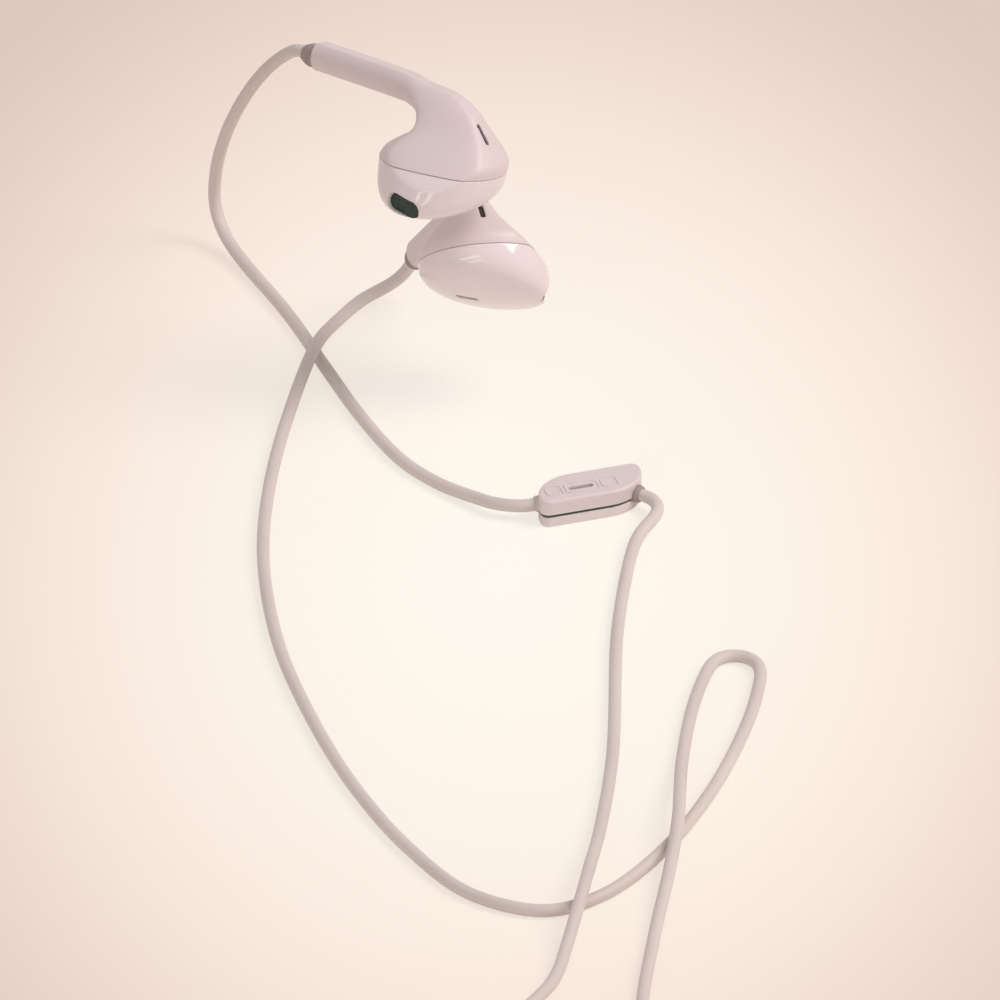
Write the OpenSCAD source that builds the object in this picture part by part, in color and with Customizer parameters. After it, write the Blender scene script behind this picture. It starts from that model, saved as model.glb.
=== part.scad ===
// Wired earphones: two earbuds, an in-line remote, a junction and a four-contact plug.
// The origin is the middle of the remote's flat back, +Z is up, and the floor is z = 0.

/* [Earbud shells] */
// Diameter of the head at its seam
head_d = 17; // [16:0.5:20]
// Depth of the front shell ahead of the seam
front_depth = 6.5; // [5.8:0.1:7.5]
// Roundness of the front shell's shoulder
front_fullness = 2.6; // [2.2:0.1:3]
// Shift of the front shell's pole towards its sound port
pole_shift = 5.3; // [3.5:0.1:5.6]
// Distance of the flattened flank from the head's centre
flank_distance = 4.7; // [4.4:0.1:5.4]
// Wall of both shells
shell_wall = 0.8; // [0.6:0.05:0.9]
// Height of the stem's axis over the seam where the neck ends
neck_rise = 7.9; // [7.5:0.1:10]
// Thickness of the stem
stem_d = 3.6; // [3.4:0.1:4.4]
// Distance of the stem's end from the head's axis
stem_reach = 25; // [22:0.5:34]
// Rise of the stem's axis from the neck to its end
stem_lift = -0.6; // [-1:0.1:1]
// Open line between the two shells
seam_gap = 0.12; // [0.08:0.02:0.2]

/* [Earbud openings] */
// Length of the main sound port
port_length = 4.8; // [3.8:0.1:5]
// Width of the main sound port
port_width = 2.4; // [2:0.1:3]
// Depth of the mesh in the main sound port
port_mesh_depth = 1.1; // [0.7:0.1:1.3]
// Length of the slit in the back shell
slit_length = 3.1; // [2:0.1:4]
// Width of the slit in the back shell
slit_width = 0.7; // [0.5:0.05:1]
// Length of the small vent in the front shell
vent_length = 3; // [2:0.1:3.4]
// Width of the small vent in the front shell
vent_width = 0.9; // [0.6:0.05:1.2]
// Thickness of the meshes
mesh_t = 0.25; // [0.2:0.05:0.4]

/* [Driver] */
// Outer diameter of the driver's frame
driver_d = 11; // [10.6:0.1:11.2]
// Shift of the driver away from the flattened flank
driver_shift = 0.8; // [0.6:0.1:1]
// Wall of the driver's frame
frame_wall = 0.5; // [0.4:0.05:0.7]
// Outer diameter of the yoke
yoke_d = 6.8; // [6.6:0.1:7.4]
// Wall of the yoke
yoke_wall = 0.45; // [0.3:0.05:0.5]
// Diameter of the magnet and its top plate
magnet_d = 4.2; // [3.8:0.1:4.3]
// Height of the magnet
magnet_h = 1.3; // [1:0.1:1.8]
// Thickness of the top plate
plate_t = 0.5; // [0.4:0.05:0.7]
// Wall of the voice coil
voice_coil_wall = 0.25; // [0.2:0.05:0.3]
// Travel of the diaphragm each way
cone_travel = 0.2; // [0.1:0.05:0.25]

/* [Cords] */
// Diameter of the cords from the earbuds to the junction
branch_d = 1.7; // [1.4:0.1:1.8]
// Diameter of the cord from the junction to the plug
main_d = 2; // [1.8:0.1:2]
// Length of the rubber relief outside each stem
relief_length = 2.8; // [2:0.1:4]
// Turns in one layer of the wound cord
turns_per_layer = 3; // [2:1:3]
// Layers of the wound cord
layers = 4; // [2:2:4]
// Mean radius of the wound cord
coil_radius = 11; // [10.5:0.5:12]
// Distance from one turn's centre to the next
coil_pitch = 2.5; // [2.45:0.05:2.6]
// Thickness of the tie round the wound cord
tie_t = 0.4; // [0.3:0.1:0.6]
// Width of the tie
tie_width = 5; // [3:0.5:6]

/* [Remote] */
// Length of the remote
remote_length = 15.2; // [15:0.2:18]
// Width of the remote
remote_width = 6.5; // [6.2:0.1:8]
// Thickness of the remote
remote_t = 3.9; // [3.7:0.1:4.6]
// Reach of the large rounded corners along the remote
corner_reach = 5.8; // [5:0.1:6]
// Radius of the small corners
corner_r = 1.2; // [1:0.1:1.4]
// Wall of the remote's covers
cover_wall = 0.75; // [0.6:0.05:0.9]
// Thickness of the remote's circuit board
board_t = 0.4; // [0.3:0.05:0.5]
// Height of the board's underside over the remote's back
board_z = 1.4; // [1.3:0.05:1.5]
// Width of the three buttons
button_width = 2.3; // [1.8:0.1:2.6]
// Length of the middle button
centre_length = 4.4; // [4:0.1:4.6]
// Length of each outer button
volume_length = 2.1; // [1.8:0.1:2.3]
// Gap round each button
button_gap = 0.1; // [0.08:0.02:0.14]
// Travel of the buttons
button_travel = 0.25; // [0.15:0.05:0.3]
// Turn of the remote on the floor
remote_yaw = 18.8; // [10:0.1:25]

/* [Junction and plug] */
// Length of the junction
junction_length = 10; // [8:0.5:14]
// Width of the junction
junction_width = 5.4; // [5:0.1:6.5]
// Thickness of the junction
junction_t = 3.4; // [3.2:0.1:4]
// Diameter of the plug's body
plug_d = 5.6; // [5:0.1:7]
// Length of the plug's body
plug_length = 15; // [12:0.5:18]
// Diameter of the jack
jack_d = 3.5; // [3.5:0.1:3.6]
// Length of the jack
jack_length = 14; // [13.5:0.5:15]

/* [Hidden] */

// Colours
satin = [0.86, 0.81, 0.79];
gloss = [0.90, 0.86, 0.84];
cord_colour = [0.84, 0.79, 0.77];
rubber_colour = [0.60, 0.55, 0.53];
dark = [0.12, 0.13, 0.12];
green_dark = [0.05, 0.20, 0.15];
steel = [0.70, 0.70, 0.72];
copper = [0.75, 0.45, 0.25];
gold = [0.85, 0.68, 0.35];

// Facets
shell_sides = 32;
shell_steps = 2;
round_fn = 48;
small_fn = 24;
joint_eps = 1;

head_r = head_d / 2;
stem_r = stem_d / 2;
branch_r = branch_d / 2;
main_r = main_d / 2;

// ---------- geometry helpers ----------

function unit(v) = v / norm(v);
function turn_x(a, p) = [p[0], p[1] * cos(a) - p[2] * sin(a), p[1] * sin(a) + p[2] * cos(a)];
function turn_y(a, p) = [p[0] * cos(a) + p[2] * sin(a), p[1], p[2] * cos(a) - p[0] * sin(a)];
function turn_z(a, p) = [p[0] * cos(a) - p[1] * sin(a), p[0] * sin(a) + p[1] * cos(a), p[2]];

// Catmull-Rom value between b and c
function spline(a, b, c, d, t) =
  0.5 * (2 * b + (c - a) * t + (2 * a - 5 * b + 4 * c - d) * t * t
  + (3 * b - a - 3 * c + d) * t * t * t);

// One solid skinned over rings that have the same number of points
module skin(rings) {
  n = len(rings[0]);
  last = len(rings) - 1;
  sides = [
    for (i = [0 : last - 1], j = [0 : n - 1])
      let (a = i * n + j, b = i * n + (j + 1) % n)
      each [[a, b + n, b], [a, a + n, b + n]]
  ];
  ends = [for (j = [1 : n - 2]) each [[0, j, j + 1], [last * n, last * n + j + 1, last * n + j]]];
  polyhedron([for (r = rings) each r], concat(sides, ends));
}

// Direction of a path at point i
function along(p, i) = unit(p[min(i + 1, len(p) - 1)] - p[max(i - 1, 0)]);
function across(n, t) = unit(n - (n * t) * t);

// A normal at each point, carried along the path without twist
function normals(p, i, n) =
  i == len(p) ? [] : let (m = across(n, along(p, i))) concat([m], normals(p, i + 1, m));

function ring_at(p, t, n, r, sides) = [
  for (k = [0 : sides - 1])
    let (a = 360 * k / sides)
    p + r * (cos(a) * n + sin(a) * cross(t, n))
];

module tube(path, d, sides) {
  first = abs(along(path, 0)[2]) > 0.9 ? [1, 0, 0] : [0, 0, 1];
  turned = normals(path, 0, first);
  skin([for (i = [0 : len(path) - 1]) ring_at(path[i], along(path, i), turned[i], d / 2, sides)]);
}

// A slot's outline, length along X
slot_steps = 6;
module slot(length, width) {
  reach = (length - width) / 2;
  polygon([
    for (side = [0, 1], k = [0 : slot_steps])
      let (a = 180 * (side + k / slot_steps) - 90)
      [(side == 0 ? reach : -reach) + width / 2 * cos(a), width / 2 * sin(a)]
  ]);
}

// Turns local Z to point outward at the given azimuth and slope
module aim(azimuth, slope) {
  rotate([0, 0, azimuth])
    rotate([0, 90 - slope, 0])
      children();
}

module tube_ring(outer_r, inner_r, bottom, top) {
  translate([0, 0, bottom])
    difference() {
      cylinder(r = outer_r, h = top - bottom, $fn = round_fn);
      translate([0, 0, -1])
        cylinder(r = inner_r, h = top - bottom + 2, $fn = round_fn);
    }
}

// ---------- earbud, in its own frame: seam at z = 0, stem towards -X, back towards +Z ----------

// Outline stations from the seam to the stem's end: inner side, outer side, half width, flatness.
// Each side is [x, z], and flatness cuts the back of the stem to a flat strip.
strip_rise = 1.35;
stations = [
  [[-head_r, seam_gap / 2], [head_r, seam_gap / 2], head_r, 1],
  [[-0.9 * head_r, 0.16 * neck_rise], [0.995 * head_r, 0.2 * neck_rise], 0.98 * head_r, 1],
  [[-0.68 * head_r, 0.33 * neck_rise], [0.82 * head_r, 0.45 * neck_rise], 0.84 * head_r, 1],
  [[-0.5 * head_r, 0.46 * neck_rise], [0.58 * head_r, 0.74 * neck_rise], 0.66 * head_r, 1],
  [[-0.44 * head_r, 0.59 * neck_rise], [0.38 * head_r, 0.96 * neck_rise], 0.56 * head_r, 1],
  [[-0.55 * head_r, 0.71 * neck_rise], [0, 1.2 * neck_rise], 0.39 * head_r, 0.97],
  [[-0.76 * head_r, 0.77 * neck_rise], [-0.53 * head_r, 1.24 * neck_rise], 0.29 * head_r, 0.92],
  [[-1.1 * head_r, neck_rise - stem_r], [-1.1 * head_r, neck_rise + strip_rise * stem_r], stem_r, 0.85],
  [
    [-stem_reach, neck_rise + stem_lift - stem_r],
    [-stem_reach, neck_rise + stem_lift + strip_rise * stem_r],
    stem_r,
    0.85
  ]
];

stem_slope = atan(stem_lift / (stem_reach - 1.1 * head_r));
stem_end = [-stem_reach, 0, neck_rise + stem_lift];
stem_way = [-cos(stem_slope), 0, sin(stem_slope)];
relief_tip = stem_end + relief_length * stem_way;

function station(i) = stations[max(0, min(len(stations) - 1, i))];
function blend_station(i, t) = [
  for (k = [0 : 3])
    spline(station(i - 1)[k], station(i)[k], station(i + 1)[k], station(i + 2)[k], t)
];

// The flank between the slit and the sound port, flattened softly
flank_azimuth = 296;
flank_slope = 44;
flank_rise = 0.35;
flank_top = 5;
flank_blend = 1.5;
flank_soft = 0.6;
flank_share = 0.85;
flank_way = [
  cos(flank_azimuth) * cos(flank_slope),
  sin(flank_azimuth) * cos(flank_slope),
  sin(flank_slope)
];
flank_push = [cos(flank_azimuth), sin(flank_azimuth), 0] / cos(flank_slope);
function flattened(p, inset) =
  let (
    above = p[2] - flank_top,
    relieved = flank_rise * (above + sqrt(above * above + flank_blend * flank_blend)) / 2,
    over = p * flank_way - flank_distance - relieved + inset
  )
  over > 0 ? p - flank_push * flank_share * over * over / (over + flank_soft) : p;

// Above its flatness the back of the stem keeps only a low crown
strip_crown = 0.1;
function strip_cut(c, flatness) = c > flatness ? flatness + strip_crown * (c - flatness) : c;

// One ring of the back shell, drawn in by inset
function shell_ring(s, inset) =
  let (
    middle = (s[0] + s[1]) / 2,
    half = (s[1] - s[0]) / 2,
    reach = half * (1 - inset / norm(half)),
    side = s[2] - inset
  )
  [
    for (k = [0 : shell_sides - 1])
      let (a = 360 * k / shell_sides, c = strip_cut(cos(a), s[3]))
      flattened([middle[0] + reach[0] * c, side * sin(a), middle[1] + reach[1] * c], inset)
  ];

function shell_rings(inset) = [
  for (i = [0 : len(stations) - 2], k = [0 : shell_steps])
    if (k < shell_steps || i == len(stations) - 2)
      shell_ring(blend_station(i, k / shell_steps), inset)
];

function moved(ring, v) = [for (p = ring) p + v];

// The room inside the back shell, run past both of its ends
module back_room() {
  rings = shell_rings(shell_wall);
  skin(concat(
    [moved(rings[0], [0, 0, -joint_eps])],
    rings,
    [moved(rings[len(rings) - 1], [-joint_eps, 0, 0])]
  ));
}

slit_azimuth = 13.1;
slit_slope = 42.4;
slit_roll = -2.3;
slit_place = [0.623 * head_r, 0.16 * head_r, 0.669 * neck_rise];

module at_slit(depth) {
  translate(slit_place)
    aim(slit_azimuth, slit_slope)
      rotate([0, 0, slit_roll])
        translate([0, 0, -depth])
          children();
}

module back_shell() {
  color(satin)
    difference() {
      skin(shell_rings(0));
      back_room();
      at_slit(2)
        linear_extrude(4)
          slot(slit_length, slit_width);
    }
}

// Front shell: rings by latitude, their middles drifting towards the main port
port_azimuth = 279.7;
pole_azimuth = 277;
dome_rings = 8;
dome_end = 84;
pole_power = 2.5;

function dome_ring(a, inset) =
  let (
    deep = pow(sin(a), 2 / front_fullness),
    z = -seam_gap / 2 - (front_depth - inset) * deep,
    drift = pole_shift * pow(deep, pole_power)
  )
  [
    for (k = [0 : shell_sides - 1])
      let (turn = 360 * k / shell_sides, out = (head_r - inset) * cos(a))
      flattened(
        [out * cos(turn) + drift * cos(pole_azimuth), out * sin(turn) + drift * sin(pole_azimuth), z],
        inset
      )
  ];

module dome(inset, over) {
  skin([
    for (i = [dome_rings : -1 : (over > 0 ? -1 : 0)])
      i < 0 ? moved(dome_ring(0, inset), [0, 0, over])
      : dome_ring(dome_end * i / dome_rings, inset)
  ]);
}

// A wall that follows the seam, from one inset to another
module seam_wall(outer_inset, inner_inset, bottom, top) {
  difference() {
    skin([for (z = [bottom, top]) level(dome_ring(0, outer_inset), z)]);
    skin([for (z = [bottom - 1, top + 1]) level(dome_ring(0, inner_inset), z)]);
  }
}

function level(ring, z) = [for (p = ring) [p[0], p[1], z]];

port_slope = -3;
port_roll = 78;
port_radius = 1.03 * head_r;
port_z = -0.73 * front_depth;
vent_azimuth = 96.4;
vent_slope = -73;
vent_roll = -16;
vent_radius = 0.295 * head_r;
vent_z = -0.814 * front_depth;
port_wall = 0.5;

module at_port(depth) {
  translate([port_radius * cos(port_azimuth), port_radius * sin(port_azimuth), port_z])
    aim(port_azimuth, port_slope)
      rotate([0, 0, port_roll])
        translate([0, 0, -depth])
          children();
}

module at_vent(depth) {
  translate([vent_radius * cos(vent_azimuth), vent_radius * sin(vent_azimuth), vent_z])
    aim(vent_azimuth, vent_slope)
      rotate([0, 0, vent_roll])
        translate([0, 0, -depth])
          children();
}

// The driver's seat in the front shell, and the lip that centres the back shell
driver_r = driver_d / 2;
seat_z = -1.9;
seat_t = 0.4;
seat_width = 0.6;
lip_t = 0.9;
lip_h = 0.4;
lip_gap = 0.45;
lip_root_z = -seam_gap / 2 - 0.6;

module at_driver() {
  translate(-driver_shift * [cos(flank_azimuth), sin(flank_azimuth), 0])
    children();
}

module front_room() {
  difference() {
    dome(shell_wall, joint_eps);
    at_driver()
      tube_ring(head_r + driver_shift, driver_r - seat_width, seat_z - seat_t, seat_z);
    at_port(2.2)
      linear_extrude(4)
        slot(port_length + 2 * port_wall, port_width + 2 * port_wall);
  }
}

module front_shell() {
  color(gloss) {
    difference() {
      dome(0, 0);
      front_room();
      at_port(3)
        linear_extrude(5)
          slot(port_length, port_width);
      at_vent(2)
        linear_extrude(4)
          slot(vent_length, vent_width);
    }
    seam_wall(shell_wall + lip_gap, shell_wall + lip_t, lip_root_z, lip_h);
    seam_wall(shell_wall - 0.3, shell_wall + lip_t, lip_root_z, lip_root_z + 0.5);
  }
}

mesh_fit = 0.02;

module port_mesh() {
  color(green_dark)
    at_port(port_mesh_depth + mesh_t)
      linear_extrude(mesh_t)
        slot(port_length - 2 * mesh_fit, port_width - 2 * mesh_fit);
}

module slit_mesh() {
  color(dark)
    at_slit(0.45 + mesh_t)
      linear_extrude(mesh_t)
        slot(slit_length - 2 * mesh_fit, slit_width - 2 * mesh_fit);
}

module vent_mesh() {
  color(dark)
    at_vent(0.45 + mesh_t)
      linear_extrude(mesh_t)
        slot(vent_length - 2 * mesh_fit, vent_width - 2 * mesh_fit);
}

// ---------- driver, on the head's axis, front towards -Z ----------

seal_t = 0.4;
frame_front = seat_z + seal_t;
frame_back = 1.1;
flange_t = 0.6;
yoke_r = yoke_d / 2;
magnet_r = magnet_d / 2;
plate_front = 0.1;
magnet_front = plate_front + plate_t;
yoke_floor = magnet_front + magnet_h;
yoke_floor_t = 0.5;
coil_r = (magnet_r + yoke_r - yoke_wall) / 2;
cone_room = 0.5;
coil_front = plate_front - cone_travel - cone_room;
coil_back = magnet_front + 0.1;
cone_rim = driver_r - frame_wall - 0.3;
cone_t = 0.15;
cone_bow = 0.5;

module seal_ring() {
  color(dark)
    tube_ring(driver_r, driver_r - seat_width, seat_z, frame_front);
}

module driver_frame() {
  color("dimgray") {
    tube_ring(driver_r, driver_r - frame_wall, frame_front, frame_back);
    tube_ring(driver_r - frame_wall / 2, yoke_r, frame_back - flange_t, frame_back);
  }
}

module yoke() {
  color(steel)
    difference() {
      translate([0, 0, plate_front])
        cylinder(r = yoke_r, h = yoke_floor + yoke_floor_t - plate_front, $fn = round_fn);
      translate([0, 0, plate_front - 1])
        cylinder(r = yoke_r - yoke_wall, h = yoke_floor - plate_front + 1, $fn = round_fn);
    }
}

module magnet() {
  color("silver")
    translate([0, 0, magnet_front])
      cylinder(r = magnet_r, h = magnet_h, $fn = round_fn);
}

module top_plate() {
  color(steel)
    translate([0, 0, plate_front])
      cylinder(r = magnet_r, h = plate_t, $fn = round_fn);
}

module voice_coil() {
  color(copper)
    tube_ring(coil_r + voice_coil_wall / 2, coil_r - voice_coil_wall / 2, coil_front, coil_back);
}

// A shallow dome inside the voice coil with a rolled surround outside it
module diaphragm() {
  color("gainsboro")
    rotate_extrude($fn = round_fn)
      polygon([
        [0, coil_front - cone_bow],
        [coil_r * 0.6, coil_front - cone_bow * 0.7],
        [coil_r, coil_front - cone_t],
        [(coil_r + cone_rim) / 2, coil_front - cone_bow],
        [cone_rim, coil_front - cone_t],
        [cone_rim, coil_front],
        [(coil_r + cone_rim) / 2, coil_front - cone_bow + cone_t],
        [coil_r + voice_coil_wall / 2, coil_front],
        [coil_r - voice_coil_wall / 2, coil_front],
        [coil_r * 0.6, coil_front - cone_bow * 0.7 + cone_t],
        [0, coil_front - cone_bow + cone_t]
      ]);
}

module terminal_board() {
  color(green_dark)
    intersection() {
      tube_ring(driver_r - 0.3, yoke_r + 0.2, frame_back, frame_back + 0.4);
      translate([driver_r, 0, frame_back])
        cube([driver_d, driver_d * 0.7, 2], center = true);
    }
}

// ---------- stem end ----------

relief_root_r = 1.6;
relief_tip_r = branch_r + 0.1;
spigot_r = stem_r - shell_wall - 0.1;
spigot_length = 2;

module at_stem_end() {
  translate(stem_end)
    rotate([0, -90 + stem_slope, 0])
      children();
}

module cord_relief() {
  color(rubber_colour)
    at_stem_end()
      rotate_extrude($fn = small_fn)
        polygon([
          [0, -spigot_length],
          [spigot_r, -spigot_length],
          [spigot_r, 0.15],
          [relief_root_r, 0.15],
          [relief_root_r, relief_length * 0.45],
          [relief_tip_r, relief_length],
          [0, relief_length]
        ]);
}

module cord_anchor() {
  color(steel)
    at_stem_end()
      translate([0, 0, -spigot_length - 2.5])
        cylinder(r = spigot_r - 0.1, h = 2.5, $fn = small_fn);
}

// ---------- where the earbuds lie ----------

right_place = [-19.3, 28.1, 36.3];
right_tilt = -13.7;
right_roll = 7.1;
right_spin = -45.6;
left_place = [-14.2, 30.9, 20];
left_tilt = -44;
left_roll = -6.3;
left_spin = -67.3;

module right_side() {
  translate(right_place)
    rotate([right_tilt, 0, 0])
      rotate([0, right_roll, 0])
        rotate([0, 0, right_spin])
          children();
}

module left_side() {
  translate(left_place)
    rotate([left_tilt, left_roll, 0])
      rotate([0, 0, left_spin])
        mirror([0, 1, 0])
          children();
}

function on_right(p) =
  right_place + turn_x(right_tilt, turn_y(right_roll, turn_z(right_spin, p)));
function on_left(p) =
  left_place + turn_y(left_roll, turn_x(left_tilt, turn_z(left_spin, [p[0], -p[1], p[2]])));

// ---------- remote: long axis along X before its turn, back on z = 0 ----------

// Leaf outline: two large rounded corners and two small ones, the same turned half round
corner_steps = 10;
function half_leaf(l, w, reach, r) = concat(
  [
    for (i = [0 : corner_steps])
      let (a = 90 * i / corner_steps)
      [l - reach + reach * sin(a), -w + (2 * w - r) * (1 - cos(a))]
  ],
  [for (a = [30 : 30 : 90]) [l - r + r * cos(a), w - r + r * sin(a)]]
);
function leaf(i) =
  let (half = half_leaf(remote_length / 2 - i, remote_width / 2 - i, corner_reach - i, corner_r - i))
  concat(half, [for (p = half) -p]);

module leaf_block(inset, bottom, top) {
  translate([0, 0, bottom])
    linear_extrude(top - bottom)
      polygon(leaf(inset));
}

edge_r = 0.35;
cord_z = 2;
board_inset = 0.25;
board_top = board_z + board_t;
roof_t = 0.9;
roof_z = remote_t - roof_t;
entry_x = -remote_length / 2 + 0.45;
exit_place = [remote_length / 2 - 1.85, -0.415 * remote_width / 2, cord_z];
exit_turn = -52;
entry_reach = 0.5;
exit_reach = 1.1;
entry_tip = [entry_x - entry_reach, 0, cord_z];
exit_tip = exit_place + turn_z(exit_turn, [exit_reach, 0, 0]);
entry_r = branch_r + 0.25;
exit_r = branch_r + 0.4;
relief_root = 0.5;
relief_fit = 0.02;

module at_exit() {
  translate(exit_place)
    rotate([0, 0, exit_turn])
      rotate([0, 90, 0])
        children();
}

// Room for both strain reliefs
module relief_bores(gap) {
  translate([entry_x - 2, 0, cord_z])
    rotate([0, 90, 0])
      cylinder(r = entry_r + gap, h = 2 + relief_root + gap, $fn = small_fn);
  at_exit()
    translate([0, 0, -relief_root - gap])
      cylinder(r = exit_r + gap, h = 2 + relief_root + gap, $fn = small_fn);
}

button_y = -0.6;
centre_x = -1.5;
button_pitch = centre_length / 2 + volume_length / 2 + 0.6;
button_r = 0.6;
button_flange = 0.3;
button_flange_t = 0.35;
flange_drop = 0.1;
flange_fit = 0.15;
switch_d = 1.8;
switch_h = 0.3;

function button_x(step) = centre_x + step * button_pitch;
function button_length(step) = step == 0 ? centre_length : volume_length;

module key_outline(length, width, r) {
  square([length - 2 * r, width], center = true);
  square([length, width - 2 * r], center = true);
  for (x = [-1, 1], y = [-1, 1])
    translate([x * (length / 2 - r), y * (width / 2 - r)])
      circle(r = r, $fn = small_fn);
}

module on_remote() {
  rotate([0, 0, remote_yaw])
    children();
}

module remote_top_cover() {
  color(satin)
    on_remote()
      difference() {
        hull() {
          leaf_block(0, board_top, remote_t - edge_r);
          leaf_block(edge_r * 0.3, board_top, remote_t - edge_r * 0.3);
          leaf_block(edge_r, board_top, remote_t);
        }
        leaf_block(cover_wall, board_top - 1, roof_z);
        for (step = [-1 : 1])
          translate([button_x(step), button_y, roof_z - 1])
            linear_extrude(roof_t + 2)
              key_outline(
                button_length(step) + 2 * button_gap,
                button_width + 2 * button_gap,
                button_r + button_gap
              );
        relief_bores(relief_fit);
      }
}

module remote_bottom_cover() {
  color(satin)
    on_remote()
      difference() {
        hull() {
          leaf_block(edge_r, 0, board_z);
          leaf_block(0, edge_r, board_z);
        }
        leaf_block(cover_wall, cover_wall, board_z + 1);
        relief_bores(relief_fit);
        translate([mic_x, 0, -1])
          cylinder(r = 0.3, h = 3, $fn = small_fn);
      }
}

// A push button: cap through the roof, flange under it and a short foot over its switch
module button(step, recess) {
  flange_top = roof_z - flange_drop;
  foot_z = board_top + switch_h + button_travel + 0.1;
  color(gloss)
    on_remote()
      translate([button_x(step), button_y, 0])
        difference() {
          union() {
            translate([0, 0, flange_top - 0.1])
              linear_extrude(remote_t - flange_top + 0.1)
                key_outline(button_length(step), button_width, button_r);
            intersection() {
              translate([0, 0, flange_top - button_flange_t])
                linear_extrude(button_flange_t)
                  key_outline(
                    button_length(step) + 2 * button_flange - 0.2,
                    button_width + 2 * button_flange,
                    button_r
                  );
              translate([-button_x(step), -button_y, 0])
                leaf_block(cover_wall + flange_fit, 0, remote_t);
            }
            translate([0, 0, foot_z])
              cylinder(r = 0.5, h = flange_top - foot_z, $fn = small_fn);
          }
          if (recess)
            translate([0, 0, remote_t - 0.35])
              linear_extrude(1)
                slot(centre_length * 0.78, 0.85);
        }
}

module volume_up_button() {
  button(1, false);
}

module centre_button() {
  button(0, true);
}

module volume_down_button() {
  button(-1, false);
}

module remote_board() {
  color(green_dark)
    on_remote()
      difference() {
        leaf_block(board_inset, board_z, board_top);
        relief_bores(0.1);
      }
}

module remote_switches() {
  color(steel)
    on_remote()
      for (step = [-1 : 1])
        translate([button_x(step), button_y, board_top])
          cylinder(d = switch_d, h = switch_h, $fn = small_fn);
}

mic_x = 3.2;
mic_d = 2;

module remote_microphone() {
  color(gold)
    on_remote()
      translate([mic_x, 0, cover_wall + 0.02])
        cylinder(d = mic_d, h = board_z - cover_wall - 0.02, $fn = small_fn);
}

module remote_entry_relief() {
  color(rubber_colour)
    on_remote()
      translate(entry_tip)
        rotate([0, 90, 0])
          cylinder(r = entry_r, h = entry_reach + relief_root, $fn = small_fn);
}

module remote_exit_relief() {
  color(rubber_colour)
    on_remote()
      at_exit()
        translate([0, 0, -relief_root])
          cylinder(r = exit_r, h = exit_reach + relief_root, $fn = small_fn);
}

function on_remote_point(p) = turn_z(remote_yaw, p);

// ---------- junction, wound cord and plug ----------

junction_place = [22, -166, 0];
junction_yaw = 0;
branch_gap = 1.1;
coil_middle = [junction_place[0] + 28, junction_place[1] - 9, 0];

layer_step = coil_pitch;
coil_steps = 24;
coil_sides = 6;
coil_turns = turns_per_layer * layers + 0.5;
coil_start = 180;
coil_z = main_r + tie_t + 0.1;
coil_outer = coil_radius + coil_pitch * turns_per_layer / 2;

// Radius falls and grows by one pitch a turn, and turns back at each layer's end
function coil_r_at(turn) =
  let (layer = floor(turn / turns_per_layer), part = turn - layer * turns_per_layer)
  coil_outer - coil_pitch * (layer % 2 == 0 ? part : turns_per_layer - part);

// Height climbs one layer in the half turn about each layer's end
function coil_climb(turn) =
  let (
    nearest = max(1, min(layers - 1, round(turn / turns_per_layer))),
    share = turn - nearest * turns_per_layer
  )
  nearest - 1 + max(0, min(1, 0.5 + 2 * share));

function coil_point(turn) =
  let (
    a = coil_start + 360 * turn,
    spare = turn - turns_per_layer * layers,
    r = spare > 0 ? coil_outer + coil_pitch * spare : coil_r_at(turn)
  )
  coil_middle + [r * cos(a), r * sin(a), coil_z + layer_step * coil_climb(turn)];

coil_loops = [for (i = [0 : coil_turns * coil_steps]) coil_point(i / coil_steps)];
coil_last = len(coil_loops) - 1;
coil_in = coil_loops[0] + [0, main_d, 0];
coil_out = coil_loops[coil_last] + [0, main_d, 0];
coil_path = concat([coil_in], coil_loops, [coil_out]);

// Least distance between two points of the wound cord that lie half a turn or more apart
function least_gap(p, i, least) =
  i > len(p) - 13 ? least
  : least_gap(p, i + 1, min(least, min([for (j = [i + 12 : len(p) - 1]) norm(p[i] - p[j])])));
echo(wound_cord_least_gap = least_gap(coil_loops, 0, 1000) - main_d);

// Routes of the cords. The first and last points meet the pieces that hold the cord.
floor_z = branch_r;
over_z = 3.15;

right_upper_route = concat(
  [on_right(relief_tip), on_right(relief_tip + 1.2 * stem_way)],
  [
    [-41, 54.1, 37.4], [-43.3, 57.2, 33.3], [-45.8, 61.3, 27.2], [-48.2, 66.3, 19],
    [-49.6, 69.9, 11], [-49.7, 70.7, 5.3], [-48.4, 68.3, 2.4], [-46.2, 64, 1.2],
    [-40.2, 50.6, floor_z], [-34.2, 33.6, floor_z], [-30.3, 22.9, floor_z],
    [-24.6, 10.7, floor_z], [-20, 5, floor_z], [-15.4, 0.7, 1.3], [-12, -2.2, 1.8]
  ],
  [on_remote_point(entry_tip - [1.5, 0, 0]), on_remote_point(entry_tip)]
);

right_lower_route = concat(
  [on_remote_point(exit_tip), on_remote_point(exit_tip + turn_z(exit_turn, [1, 0, 0]))],
  [
    [9.1, -2.6, 1.9], [8.5, -5.4, 1.7], [7.4, -7.1, 1.5], [6.2, -9.8, 1.2], [5.5, -13, 0.9],
    [4.9, -17.5, floor_z], [3.5, -34, floor_z], [2.8, -66, floor_z], [1, -87.3, 1.6],
    [-0.2, -97.2, 2.7], [-1, -103.5, over_z], [-2, -109.5, 2.7], [-3.3, -116, 1.5],
    [-5.2, -124, floor_z], [-21, -152, floor_z], [-24.5, -168, floor_z], [-19, -182, floor_z],
    [-5, -187, floor_z], [4.6, -181, floor_z], [8.4, -173.8, 0.9], [12, -169, 1.3]
  ],
  [
    junction_place + [-junction_length / 2 - 2, -branch_gap - 0.1, junction_t / 2],
    junction_place + [-junction_length / 2, -branch_gap, junction_t / 2]
  ]
);

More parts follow.
